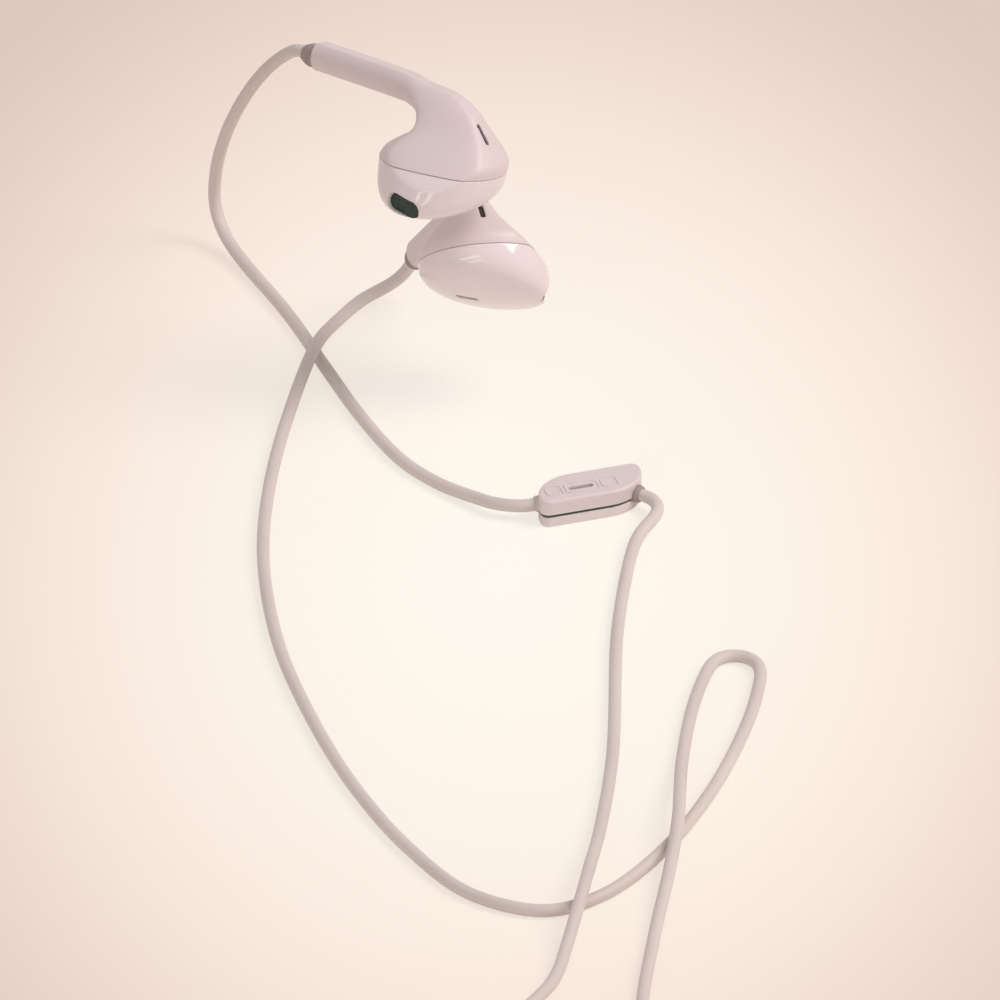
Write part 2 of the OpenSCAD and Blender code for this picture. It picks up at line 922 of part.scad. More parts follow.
left_route = concat(
  [on_left(relief_tip), on_left(relief_tip + 0.5 * stem_way)],
  [
    [-24.5, 55.1, 4.1], [-26.6, 55.3, 2.1], [-29.3, 53.9, 1.4], [-33.4, 45.2, 2.5],
    [-36, 38.2, 3.2], [-39.6, 23.5, 1.2], [-42.2, 4, floor_z],
    [-42.9, -15, floor_z], [-40.8, -37, floor_z], [-36.2, -57, floor_z], [-30.6, -74.4, floor_z],
    [-23.6, -89.8, floor_z], [-15.4, -101.6, floor_z], [-5.8, -105.7, floor_z],
    [1.5, -101.6, floor_z], [9, -90.8, floor_z], [15.6, -75.2, floor_z], [20.4, -57.6, floor_z],
    [21.9, -48.4, floor_z], [22.2, -43.4, floor_z], [21.2, -40.9, floor_z], [18.8, -39.8, floor_z],
    [16.4, -40.9, floor_z], [15.4, -43.4, floor_z], [13.4, -52.8, floor_z], [11.9, -67, 1.1],
    [11.5, -78.7, 2.7], [11.3, -85.5, over_z], [10.3, -95.5, 2], [8, -113, floor_z],
    [6.4, -134, floor_z], [8.6, -155, floor_z], [11.6, -162.8, 1.2]
  ],
  [
    junction_place + [-junction_length / 2 - 2, branch_gap + 0.1, junction_t / 2],
    junction_place + [-junction_length / 2, branch_gap, junction_t / 2]
  ]
);

main_lead_route = [
  junction_place + [junction_length / 2, 0, junction_t / 2],
  junction_place + [junction_length / 2 + 2, 0, junction_t / 2],
  coil_in + [-3, 6.2, 0.1],
  coil_in + [-0.8, 4.4, 0],
  coil_in + [0, 2, 0],
  coil_in
];

plug_back = coil_out + [1, 24, plug_d / 2 - coil_out[2]];
plug_tail_route = [
  coil_out,
  coil_out + [0, 2, -0.1],
  coil_out + [0.2, 6, -1.1],
  coil_out + [0.6, 10.5, -3.9],
  plug_back + [-0.1, -9.6, 0.5],
  plug_back + [0, -7.2, 0],
  plug_back + [0, -5, 0]
];

module right_upper_cord() {
  color(cord_colour)
    tube(right_upper_route, branch_d, 8);
}

module right_lower_cord() {
  color(cord_colour)
    tube(right_lower_route, branch_d, 8);
}

module left_cord() {
  color(cord_colour)
    tube(left_route, branch_d, 8);
}

module main_lead() {
  color(cord_colour)
    tube(main_lead_route, main_d, 8);
}

module main_coil() {
  color(cord_colour)
    tube(coil_path, main_d, coil_sides);
}

module plug_tail() {
  color(cord_colour)
    tube(plug_tail_route, main_d, 8);
}

// A strap round all the layers, on the side where no turn climbs or leaves
tie_turn = 45;
tie_part = 0.5 + tie_turn / 360;
module cord_tie() {
  least_r = coil_outer - coil_pitch * (turns_per_layer - 1 + tie_part) - 0.15;
  room_in = sqrt(least_r * least_r - tie_width * tie_width / 4) - main_r - 0.15;
  room_out = coil_outer - coil_pitch * (1 - tie_part) + main_r + 0.3;
  room_top = coil_z + layer_step * (layers - 1) + main_r + 0.1;
  color(rubber_colour)
    translate(coil_middle)
      rotate([0, 0, tie_turn])
        difference() {
          translate([room_in - tie_t, -tie_width / 2, 0])
            cube([room_out - room_in + 2 * tie_t, tie_width, room_top + tie_t]);
          translate([room_in, -tie_width, tie_t])
            cube([room_out - room_in, 2 * tie_width, room_top - tie_t]);
        }
}

bore_wall = 0.8;

module junction_outline(inset) {
  key_outline(junction_length - 2 * inset, junction_width - 2 * inset, 1.6 - inset);
}

module junction_cover() {
  color(satin)
    translate(junction_place)
      difference() {
        linear_extrude(junction_t)
          junction_outline(0);
        translate([0, 0, bore_wall])
          linear_extrude(junction_t - 2 * bore_wall)
            junction_outline(bore_wall);
      }
}

module junction_crimp() {
  color(steel)
    translate(junction_place + [0, 0, bore_wall])
      linear_extrude(junction_t - 2 * bore_wall - 0.02)
        key_outline(junction_length - 2 * bore_wall - 2, junction_width - 2 * bore_wall - 0.6, 0.6);
}

module at_plug() {
  translate(plug_back)
    rotate([-90, 0, 0])
      children();
}

plug_relief_length = 5;
plug_round = 0.6;
pin_r = 0.5;
sleeve_bore_r = 0.9;
band_t = 0.5;
contact_t = 2;
tip_length = 3.5;
jack_r = jack_d / 2;
plug_r = plug_d / 2;
jack_root = 3;
// The sleeve's root is thinner, and stays so just past the body's face
root_r = jack_r - 0.2;
root_lead = 0.2;
outer_ring_z = plug_length + jack_length - tip_length - 2 * contact_t - 2 * band_t;
inner_ring_z = outer_ring_z + contact_t + band_t;
tip_z = plug_length + jack_length - tip_length;

module plug_relief() {
  color(rubber_colour)
    at_plug()
      translate([0, 0, -plug_relief_length])
        cylinder(r1 = main_r + 0.25, r2 = plug_r * 0.66, h = plug_relief_length, $fn = small_fn);
}

module plug_body() {
  color(satin)
    at_plug()
      rotate_extrude($fn = round_fn)
        polygon([
          [0, 0],
          [plug_r - plug_round, 0],
          [plug_r, plug_round],
          [plug_r, plug_length - plug_round],
          [plug_r - plug_round, plug_length],
          [root_r, plug_length],
          [root_r, plug_length - jack_root],
          [0, plug_length - jack_root]
        ]);
}

module contact(bottom, top) {
  color(gold)
    at_plug()
      tube_ring(jack_r, sleeve_bore_r, bottom, top);
}

module plug_sleeve() {
  color(gold)
    at_plug()
      rotate_extrude($fn = round_fn)
        polygon([
          [sleeve_bore_r, plug_length - jack_root],
          [root_r, plug_length - jack_root],
          [root_r, plug_length + root_lead],
          [jack_r, plug_length + root_lead],
          [jack_r, outer_ring_z - band_t],
          [sleeve_bore_r, outer_ring_z - band_t]
        ]);
}

module plug_outer_ring() {
  contact(outer_ring_z, outer_ring_z + contact_t);
}

module plug_inner_ring() {
  contact(inner_ring_z, inner_ring_z + contact_t);
}

module plug_tip() {
  color(gold)
    at_plug()
      rotate_extrude($fn = round_fn)
        polygon([
          [0, plug_length - jack_root],
          [pin_r, plug_length - jack_root],
          [pin_r, tip_z],
          [jack_r, tip_z],
          [jack_r, tip_z + 0.6],
          [jack_r - 0.35, tip_z + 1.1],
          [jack_r, tip_z + 1.8],
          [0.6, plug_length + jack_length],
          [0, plug_length + jack_length]
        ]);
}

module plug_insulator() {
  color(dark)
    at_plug() {
      tube_ring(sleeve_bore_r, pin_r, plug_length - jack_root, tip_z);
      for (z = [outer_ring_z, inner_ring_z, tip_z])
        tube_ring(jack_r, pin_r, z - band_t, z);
    }
}

right_side() back_shell();  // right_back_shell
right_side() front_shell();  // right_front_shell
right_side() port_mesh();  // right_port_mesh
right_side() slit_mesh();  // right_slit_mesh
right_side() vent_mesh();  // right_vent_mesh
right_side() at_driver() driver_frame();  // right_driver_frame
right_side() at_driver() yoke();  // right_yoke
right_side() at_driver() magnet();  // right_magnet
right_side() at_driver() top_plate();  // right_top_plate
right_side() at_driver() voice_coil();  // right_voice_coil
right_side() at_driver() diaphragm();  // right_diaphragm
right_side() at_driver() seal_ring();  // right_seal_ring
right_side() at_driver() terminal_board();  // right_terminal_board
right_side() cord_relief();  // right_cord_relief
right_side() cord_anchor();  // right_cord_anchor
left_side() back_shell();  // left_back_shell
left_side() front_shell();  // left_front_shell
left_side() port_mesh();  // left_port_mesh
left_side() slit_mesh();  // left_slit_mesh
left_side() vent_mesh();  // left_vent_mesh
left_side() at_driver() driver_frame();  // left_driver_frame
left_side() at_driver() yoke();  // left_yoke
left_side() at_driver() magnet();  // left_magnet
left_side() at_driver() top_plate();  // left_top_plate
left_side() at_driver() voice_coil();  // left_voice_coil
left_side() at_driver() diaphragm();  // left_diaphragm
left_side() at_driver() seal_ring();  // left_seal_ring
left_side() at_driver() terminal_board();  // left_terminal_board
left_side() cord_relief();  // left_cord_relief
left_side() cord_anchor();  // left_cord_anchor
remote_top_cover();
remote_bottom_cover();
volume_up_button();
centre_button();
volume_down_button();
remote_board();
remote_switches();
remote_microphone();
remote_entry_relief();
remote_exit_relief();
right_upper_cord();
right_lower_cord();
left_cord();
junction_cover();
junction_crimp();
main_lead();
main_coil();
cord_tie();
plug_tail();
plug_relief();
plug_body();
plug_sleeve();
plug_outer_ring();
plug_inner_ring();
plug_tip();
plug_insulator();
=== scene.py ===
# Wired earphones: two earbuds, an in-line remote, a junction, and a wound cord with its plug.
# Sizes in the dictionaries are millimetres, and the scene itself is in metres.
import math

import bpy
import numpy as np
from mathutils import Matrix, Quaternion, Vector
from mathutils.geometry import tessellate_polygon


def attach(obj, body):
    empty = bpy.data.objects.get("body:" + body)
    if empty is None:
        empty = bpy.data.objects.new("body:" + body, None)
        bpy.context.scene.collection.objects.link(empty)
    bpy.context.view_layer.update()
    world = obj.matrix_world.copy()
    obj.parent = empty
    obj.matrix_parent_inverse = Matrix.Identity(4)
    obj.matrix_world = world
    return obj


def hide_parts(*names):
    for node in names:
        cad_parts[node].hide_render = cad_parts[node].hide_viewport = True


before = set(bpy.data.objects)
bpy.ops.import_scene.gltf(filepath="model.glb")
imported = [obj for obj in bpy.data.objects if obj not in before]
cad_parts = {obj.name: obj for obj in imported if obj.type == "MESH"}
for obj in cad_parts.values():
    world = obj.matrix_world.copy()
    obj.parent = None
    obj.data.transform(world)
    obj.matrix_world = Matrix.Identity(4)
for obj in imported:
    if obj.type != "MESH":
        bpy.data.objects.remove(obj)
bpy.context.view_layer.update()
scene = bpy.context.scene
scene.view_settings.view_transform = "Standard"
mm = 0.001
mainBody = "earphones"

view = {
    "target": (-11.84, 2.1, 0),
    "elevation": 30,
    "distance": 5500,  # a long lens, so that far and near parts keep nearly one scale
    "width": 131.58,
    "sensor": 36,
}

eyeLine = math.radians(view["elevation"])
cameraData = bpy.data.cameras.new("camera")
cameraData.sensor_width = view["sensor"]
cameraData.lens = view["sensor"] * view["distance"] / view["width"]
cameraData.clip_end = 100
cameraObject = bpy.data.objects.new("camera", cameraData)
cameraObject.location = (
    Vector(view["target"]) + view["distance"] * Vector((0, -math.cos(eyeLine), math.sin(eyeLine)))
) * mm
cameraObject.rotation_euler = (math.pi / 2 - eyeLine, 0, 0)
scene.collection.objects.link(cameraObject)
scene.camera = cameraObject
print("camera placed")


# Turns points in the plane of two axes, from the first towards the second
def turned(degrees, p, first, second):
    c, s = math.cos(math.radians(degrees)), math.sin(math.radians(degrees))
    p = np.asarray(p, float)
    out = p.copy()
    out[..., first] = p[..., first] * c - p[..., second] * s
    out[..., second] = p[..., first] * s + p[..., second] * c
    return out


def turnX(degrees, p):
    return turned(degrees, p, 1, 2)


def turnY(degrees, p):
    return turned(degrees, p, 2, 0)


def turnZ(degrees, p):
    return turned(degrees, p, 0, 1)


# Where the earbuds and the remote lie
poses = {
    "rightPlace": (-19.3, 28.1, 36.3),
    "rightTilt": -13.7,
    "rightRoll": 7.1,
    "rightSpin": -45.6,
    "leftPlace": (-14.2, 30.9, 20),
    "leftTilt": -44,
    "leftRoll": -6.3,
    "leftSpin": -67.3,
    "remoteYaw": 18.8,
}


def onRight(p):
    spun = turnY(poses["rightRoll"], turnZ(poses["rightSpin"], p))
    return np.array(poses["rightPlace"]) + turnX(poses["rightTilt"], spun)


def onLeft(p):
    mirrored = np.asarray(p, float) * (1, -1, 1)
    spun = turnX(poses["leftTilt"], turnZ(poses["leftSpin"], mirrored))
    return np.array(poses["leftPlace"]) + turnY(poses["leftRoll"], spun)


def onRemote(p):
    return turnZ(poses["remoteYaw"], p)


def toLinear(code):
    channels = [int(code[i : i + 2], 16) / 255 for i in (1, 3, 5)]
    return [c / 12.92 if c <= 0.04045 else ((c + 0.055) / 1.055) ** 2.4 for c in channels] + [1]


def addNode(tree, kind, inputs=None, **settings):
    node = tree.nodes.new("ShaderNode" + kind)
    for name, value in settings.items():
        setattr(node, name, value)
    for name, value in (inputs or {}).items():
        if isinstance(value, bpy.types.NodeSocket):
            tree.links.new(value, node.inputs[name])
        else:
            node.inputs[name].default_value = value
    return node


def startMaterial(name, spec):
    material = bpy.data.materials.new(name)
    material.use_nodes = True
    tree = material.node_tree
    tree.nodes.clear()
    shader = addNode(tree, "BsdfPrincipled", {"Metallic": spec.get("metallic", 0)})
    if "ior" in spec:
        shader.inputs["IOR"].default_value = spec["ior"]
    addNode(tree, "OutputMaterial", {"Surface": shader.outputs[0]})
    place = addNode(tree, "TexCoord").outputs["Object"]
    return material, tree, shader, place


# A surface with a little drift in its colour, an uneven gloss and a fine relief
def grainedMaterial(name, spec):
    material, tree, shader, place = startMaterial(name, spec)
    drift, grain = (
        addNode(
            tree, "TexNoise", {"Vector": place, "Scale": 1 / (spec[size] * mm), "Detail": detail}
        ).outputs[0]
        for size, detail in (("drift", 2), ("grain", 4))
    )
    ends = {"Value": drift, "From Min": 0.35, "From Max": 0.65}
    blend = addNode(tree, "MapRange", ends, clamp=True).outputs[0]
    colours = {0: blend, 6: toLinear(spec["colour"]), 7: toLinear(spec["colourTo"])}
    colour = addNode(tree, "Mix", colours, data_type="RGBA").outputs[2]
    smooth, dull = spec["roughness"]
    ends = {"Value": grain, "From Min": 0.3, "From Max": 0.7, "To Min": smooth, "To Max": dull}
    gloss = addNode(tree, "MapRange", ends).outputs[0]
    relief = addNode(
        tree, "Bump", {"Height": grain, "Strength": spec["strength"], "Distance": spec["depth"] * mm}
    ).outputs[0]
    tree.links.new(colour, shader.inputs["Base Color"])
    tree.links.new(gloss, shader.inputs["Roughness"])
    tree.links.new(relief, shader.inputs["Normal"])
    return material, shader


# Threads that cross over and under, from two families of fine bands
def wovenMaterial(name, spec):
    material, tree, shader, place = startMaterial(name, spec)
    across = 1 / (spec["thread"] * mm)
    bands = []
    for axis in ("X", "Y", "Z"):
        band = addNode(
            tree,
            "TexWave",
            {"Vector": place, "Scale": across * math.pi / 20, "Distortion": 0.4, "Detail": 0},
            bands_direction=axis,
        ).outputs[1]
        bands.append(band)
    first = addNode(tree, "Math", {0: bands[0], 1: bands[1]}, operation="MAXIMUM").outputs[0]
    height = addNode(tree, "Math", {0: first, 1: bands[2]}, operation="MAXIMUM").outputs[0]
    colours = {0: height, 6: toLinear(spec["colour"]), 7: toLinear(spec["colourTo"])}
    colour = addNode(tree, "Mix", colours, data_type="RGBA").outputs[2]
    relief = addNode(
        tree, "Bump", {"Height": height, "Strength": 0.8, "Distance": spec["depth"] * mm}
    ).outputs[0]
    shader.inputs["Roughness"].default_value = spec["roughness"]
    tree.links.new(colour, shader.inputs["Base Color"])
    tree.links.new(relief, shader.inputs["Normal"])
    return material


# Satin ABS: injection moulded in a spark-eroded tool, so it looks even and softly matt.
# The real texture is near 0.02 mm and is drawn at 0.12 mm so that it shows.
satinAbs, _ = grainedMaterial(
    "satinMouldedAbs",
    {
        "colour": "#D9CED1", "colourTo": "#DDD2D5", "drift": 9, "grain": 0.12,
        "roughness": (0.4, 0.52), "strength": 0.18, "depth": 0.01, "ior": 1.54,
    },
)
# Polished ABS: the same resin from a mirror-polished tool, so it shows long soft highlights; its
# colour is set paler than the satin ABS as painted light on the domes
glossAbsPaintedPaler, _ = grainedMaterial(
    "polishedMouldedAbsPaintedPaler",
    {
        "colour": "#E3DADE", "colourTo": "#E7DEE2", "drift": 11, "grain": 1.6,
        "roughness": (0.1, 0.16), "strength": 0.04, "depth": 0.02, "ior": 1.54,
    },
)
# Extruded TPE jacket: a dry, slightly waxy skin with faint drag marks from the die
cordJacket, cordShader = grainedMaterial(
    "extrudedTpeJacket",
    {
        "colour": "#CFC6C4", "colourTo": "#D5CCCA", "drift": 14, "grain": 0.35,
        "roughness": (0.46, 0.6), "strength": 0.2, "depth": 0.02, "ior": 1.5,
    },
)
cordShader.inputs["Sheen Weight"].default_value = 0.15
# Moulded grey TPE: the soft boots and the tie, duller than the shells; it also paints shade on the
# floor of the centre button's recess
greyTpeAndRecessShade, _ = grainedMaterial(
    "mouldedGreyTpeAndRecessShade",
    {
        "colour": "#998D8B", "colourTo": "#A29694", "drift": 5, "grain": 0.2,
        "roughness": (0.55, 0.7), "strength": 0.3, "depth": 0.02, "ior": 1.5,
    },
)
# Black polycarbonate: the driver's frame and the plug's insulators
blackPolycarbonate, _ = grainedMaterial(
    "mouldedBlackPolycarbonate",
    {
        "colour": "#1B1C1B", "colourTo": "#222423", "drift": 6, "grain": 0.3,
        "roughness": (0.35, 0.48), "strength": 0.15, "depth": 0.01, "ior": 1.58,
    },
)
# Glass-epoxy laminate with green solder resist: dark, wet-looking edge between the covers
solderResist, _ = grainedMaterial(
    "greenSolderResistOnGlassEpoxy",
    {
        "colour": "#0E2C20", "colourTo": "#133628", "drift": 1.5, "grain": 0.4,
        "roughness": (0.25, 0.4), "strength": 0.15, "depth": 0.01, "ior": 1.55,
    },
)
# Drawn steel, nickel plated: yoke, top plate, crimps and switch cans
nickelSteel, _ = grainedMaterial(
    "nickelPlatedDrawnSteel",
    {
        "colour": "#B9B6AE", "colourTo": "#C4C1B9", "drift": 2, "grain": 0.5,
        "roughness": (0.22, 0.34), "strength": 0.1, "depth": 0.01, "metallic": 1,
    },
)
# Sintered neodymium magnet, nickel plated and barrelled: a grainier bright metal
platedMagnet, _ = grainedMaterial(
    "nickelPlatedSinteredMagnet",
    {
        "colour": "#A9A7A3", "colourTo": "#B8B6B1", "drift": 1.5, "grain": 0.25,
        "roughness": (0.3, 0.45), "strength": 0.25, "depth": 0.02, "metallic": 1,
    },
)
# Enamelled copper winding: fine turns under a clear varnish
enamelledCopper, _ = grainedMaterial(
    "enamelledCopperWire",
    {
        "colour": "#B4653A", "colourTo": "#C77B4B", "drift": 0.8, "grain": 0.15,
        "roughness": (0.25, 0.4), "strength": 0.4, "depth": 0.03, "metallic": 1,
    },
)
# Thermoformed PET film: thin, clear grey, with a satin surface
petFilm, _ = grainedMaterial(
    "thermoformedPetFilm",
    {
        "colour": "#C9C8C2", "colourTo": "#D6D5CF", "drift": 2, "grain": 0.4,
        "roughness": (0.2, 0.35), "strength": 0.2, "depth": 0.02, "ior": 1.57,
    },
)
# Hard gold over nickel: turned contacts with faint tool rings
goldPlating, _ = grainedMaterial(
    "hardGoldPlatedBrass",
    {
        "colour": "#D9B468", "colourTo": "#E3C27A", "drift": 2.5, "grain": 0.3,
        "roughness": (0.16, 0.28), "strength": 0.08, "depth": 0.01, "metallic": 1,
    },
)
# Woven polyester cloth, dyed dark green: threads near 0.08 mm apart, drawn at 0.3 mm to show
greenCloth = wovenMaterial(
    "wovenDarkGreenPolyester",
    {
        "colour": "#030806", "colourTo": "#123026", "thread": 0.3, "depth": 0.03,
        "roughness": 0.6, "ior": 1.57,
    },
)
# Woven steel mesh, blackened: threads near 0.1 mm apart, drawn at 0.3 mm to show
blackMesh = wovenMaterial(
    "blackenedWovenSteelMesh",
    {
        "colour": "#0D0B0B", "colourTo": "#3B3432", "thread": 0.3, "depth": 0.04,
        "roughness": 0.45, "metallic": 0.6,
    },
)
# The small vent's woven mesh is left bright, so its threads catch the light
brightMesh = wovenMaterial(
    "brightWovenSteelMesh",
    {
        "colour": "#0C0A09", "colourTo": "#8E877E", "thread": 0.34, "depth": 0.05,
        "roughness": 0.35, "metallic": 0.6,
    },
)
print("materials made")


def makePiece(name, points, faces, material, nodes, body=mainBody, sharp=38):
    mesh = bpy.data.meshes.new(name)
    corners = (np.asarray(points, float) * mm).tolist()
    mesh.from_pydata(corners, [], [list(map(int, f)) for f in faces])
    mesh.validate()
    mesh.materials.append(material)
    mesh.polygons.foreach_set("use_smooth", [True] * len(mesh.polygons))
    mesh.set_sharp_from_angle(angle=math.radians(sharp))
    piece = bpy.data.objects.new(name, mesh)
    scene.collection.objects.link(piece)
    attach(piece, body)
    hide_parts(*nodes)
    return piece


# Quads between rings of equal length, with a fan at either end where asked
def skinRings(rings, startFan=False, endFan=False):
    rings = np.asarray(rings, float)
    count, sides = rings.shape[:2]
    k = np.arange(sides)
    faces = []
    for i in range(count - 1):
        a, b = i * sides, (i + 1) * sides
        faces += np.stack([a + k, a + (k + 1) % sides, b + (k + 1) % sides, b + k], -1).tolist()
    points = rings.reshape(-1, 3)
    for wanted, base, order in ((startFan, 0, -1), (endFan, (count - 1) * sides, 1)):
        if wanted:
            middle = len(points)
            points = np.vstack([points, points[base : base + sides].mean(0)])
            pairs = np.stack([base + k, base + (k + 1) % sides], -1)[:, ::order]
            faces += [[a, b, middle] for a, b in pairs]
    return points, faces


def axesAlong(axis):
    outward = np.asarray(axis, float) / np.linalg.norm(axis)
    helper = np.array([0, 0, 1.0]) if abs(outward[2]) < 0.9 else np.array([1.0, 0, 0])
    first = np.cross(helper, outward)
    first /= np.linalg.norm(first)
    return first, np.cross(outward, first), outward


latheSides = 48


# Rings turned about an axis. The profile holds pairs of distance along it and radius.
def latheRings(origin, axis, profile, sides=latheSides):
    first, second, outward = axesAlong(axis)
    turn = np.arange(sides) * 2 * math.pi / sides
    circle = np.cos(turn)[:, None] * first + np.sin(turn)[:, None] * second
    return np.array([np.asarray(origin, float) + d * outward + r * circle for d, r in profile])


# A quarter round from one face to the next, as pairs of share along and share across
def quarterRound(steps):
    return [
        (math.sin(math.radians(90 * i / steps)), 1 - math.cos(math.radians(90 * i / steps)))
        for i in range(steps + 1)
    ]


def joined(parts):
    points, faces, base = [], [], 0
    for p, f in parts:
        points.append(np.asarray(p, float))
        faces += [[v + base for v in face] for face in f]
        base += len(p)
    return np.vstack(points), faces


def between(s, start, end, low, high):
    return (end - s) / (end - start) * low + (s - start) / (end - start) * high


# Centripetal curve through the points, evenly spaced, with its tightest bends eased
def cordLine(points, spacing=0.5, passes=14, radius=0.85):
    knots = np.array(points, float)
    knots = np.vstack([2 * knots[0] - knots[1], knots, 2 * knots[-1] - knots[-2]])
    line = []
    for i in range(1, len(knots) - 2):
        quad = knots[i - 1 : i + 3]
        t = np.concatenate([[0], np.cumsum(np.linalg.norm(np.diff(quad, axis=0), axis=1) ** 0.5)])
        s = np.linspace(t[1], t[2], 60, endpoint=False)[:, None]
        first = [between(s, t[j], t[j + 1], quad[j], quad[j + 1]) for j in range(3)]
        second = [between(s, t[j], t[j + 2], first[j], first[j + 1]) for j in range(2)]
        line.append(between(s, t[1], t[2], *second))
    line = evenly(np.vstack(line + [knots[-2:-1]]), spacing)
    held = np.minimum(1, np.minimum(np.arange(len(line)), np.arange(len(line))[::-1]) * spacing / 4)
    for _ in range(passes):
        middle = (line[:-2] + line[2:]) / 2
        line[1:-1] += (middle - line[1:-1]) * 0.5 * held[1:-1, None]
    line[:, 2] = np.maximum(line[:, 2], radius)
    return line


def evenly(line, spacing):
    along = np.concatenate([[0], np.cumsum(np.linalg.norm(np.diff(line, axis=0), axis=1))])
    stops = np.linspace(0, along[-1], max(2, int(round(along[-1] / spacing)) + 1))
    return np.stack([np.interp(stops, along, line[:, i]) for i in range(3)], -1)


def lengthOf(line):
    return float(np.linalg.norm(np.diff(line, axis=0), axis=1).sum())


def makeCord(name, line, diameter, nodes):
    data = bpy.data.curves.new(name, "CURVE")
    data.dimensions = "3D"
    data.bevel_depth = diameter / 2 * mm
    data.bevel_resolution = 6
    data.use_fill_caps = True
    spline = data.splines.new("POLY")
    spline.points.add(len(line) - 1)
    spline.points.foreach_set("co", np.hstack([line * mm, np.ones((len(line), 1))]).ravel())
    spline.use_smooth = True
    data.materials.append(cordJacket)
    piece = bpy.data.objects.new(name, data)
    scene.collection.objects.link(piece)
    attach(piece, mainBody)
    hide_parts(*nodes)
    return piece


cords = {"branch": 1.7, "main": 2.0, "floor": 0.85, "over": 3.15, "reliefLength": 2.8}
bud = {
    "headD": 17,
    "frontDepth": 6.5,
    "fullness": 2.6,
    "poleShift": 5.3,
    "poleAzimuth": 277,
    "polePower": 2.5,
    "neckRise": 7.9,
    "stemD": 3.6,
    "stemReach": 25,
    "stemLift": -0.6,
    "stripRise": 1.35,
    "seamGap": 0.06,
    "rimR": 0.09,
    "wall": 0.8,
}
remote = {
    "length": 15.2,
    "width": 6.5,
    "thickness": 3.9,
    "cornerReach": 5.8,
    "cornerR": 1.2,
    "wall": 0.75,
    "boardZ": 1.4,
    "boardT": 0.4,
    "boardInset": 0.25,
    "edgeR": 0.35,
    "cordZ": 2,
    "exitTurn": -52,
    "exitReach": 1.1,
    "entryReach": 0.5,
}
junction = {"place": (22, -166, 0), "length": 10, "width": 5.4, "thickness": 3.4, "branchGap": 1.1}
wound = {
    "fromJunction": (28, -9, 0),
    "turnsPerLayer": 3,
    "layers": 4,
    "radius": 11,
    "pitch": 2.5,
    "tieT": 0.4,
    "tieWidth": 5,
    "tieTurn": 45,  # on the side where no turn climbs or leaves
}
plug = {
    "bodyD": 5.6,
    "bodyLength": 15,
    "bodyRound": 0.6,
    "jackD": 3.5,
    "jackLength": 14,
    "jackRoot": 3,
    "boreR": 0.9,
    "tipLength": 3.5,
    "contactT": 2,
    "bandT": 0.5,
    "reliefLength": 5,
}

headR, stemR = bud["headD"] / 2, bud["stemD"] / 2
stemSlope = math.degrees(math.atan(bud["stemLift"] / (bud["stemReach"] - 1.1 * headR)))
stemEnd = np.array([-bud["stemReach"], 0, bud["neckRise"] + bud["stemLift"]])
stemWay = np.array([-math.cos(math.radians(stemSlope)), 0, math.sin(math.radians(stemSlope))])
reliefTip = stemEnd + cords["reliefLength"] * stemWay
entryX = -remote["length"] / 2 + 0.45
entryTip = np.array([entryX - remote["entryReach"], 0, remote["cordZ"]])
exitPlace = np.array([remote["length"] / 2 - 1.85, -0.415 * remote["width"] / 2, remote["cordZ"]])
exitWay = turnZ(remote["exitTurn"], (1, 0, 0))
exitTip = exitPlace + remote["exitReach"] * exitWay
junctionPlace = np.array(junction["place"], float)
junctionMiddle = junctionPlace + (0, 0, junction["thickness"] / 2)
floorZ, overZ = cords["floor"], cords["over"]

rightUpperRoute = [
    onRight(reliefTip),
    onRight(reliefTip + 1.2 * stemWay),
    (-41, 54.1, 37.4), (-43.3, 57.2, 33.3), (-45.8, 61.3, 27.2), (-48.2, 66.3, 19),
    (-49.6, 69.9, 11), (-49.7, 70.7, 5.3), (-48.4, 68.3, 2.4), (-46.2, 64, 1.2),
    (-40.2, 50.6, floorZ), (-34.2, 33.6, floorZ), (-30.3, 22.9, floorZ), (-24.6, 10.7, floorZ),
    (-20, 5, floorZ), (-15.4, 0.7, 1.3), (-12, -2.2, 1.8),
    onRemote(entryTip - (1.5, 0, 0)),
    onRemote(entryTip),
]
rightLowerRoute = [
    onRemote(exitTip),
    onRemote(exitTip + exitWay),
    (9.1, -2.6, 1.9), (8.5, -5.4, 1.7), (7.4, -7.1, 1.5), (6.2, -9.8, 1.2), (5.5, -13, 0.9),
    (4.9, -17.5, floorZ), (3.5, -34, floorZ), (2.8, -66, floorZ), (1, -87.3, 1.6),
    (-0.2, -97.2, 2.7), (-1, -103.5, overZ), (-2, -109.5, 2.7), (-3.3, -116, 1.5),
    (-5.2, -124, floorZ), (-21, -152, floorZ), (-24.5, -168, floorZ), (-19, -182, floorZ),
    (-5, -187, floorZ), (4.6, -181, floorZ), (8.4, -173.8, 0.9), (12, -169, 1.3),
    junctionMiddle + (-junction["length"] / 2 - 2, -junction["branchGap"] - 0.1, 0),
    junctionMiddle + (-junction["length"] / 2, -junction["branchGap"], 0),
]
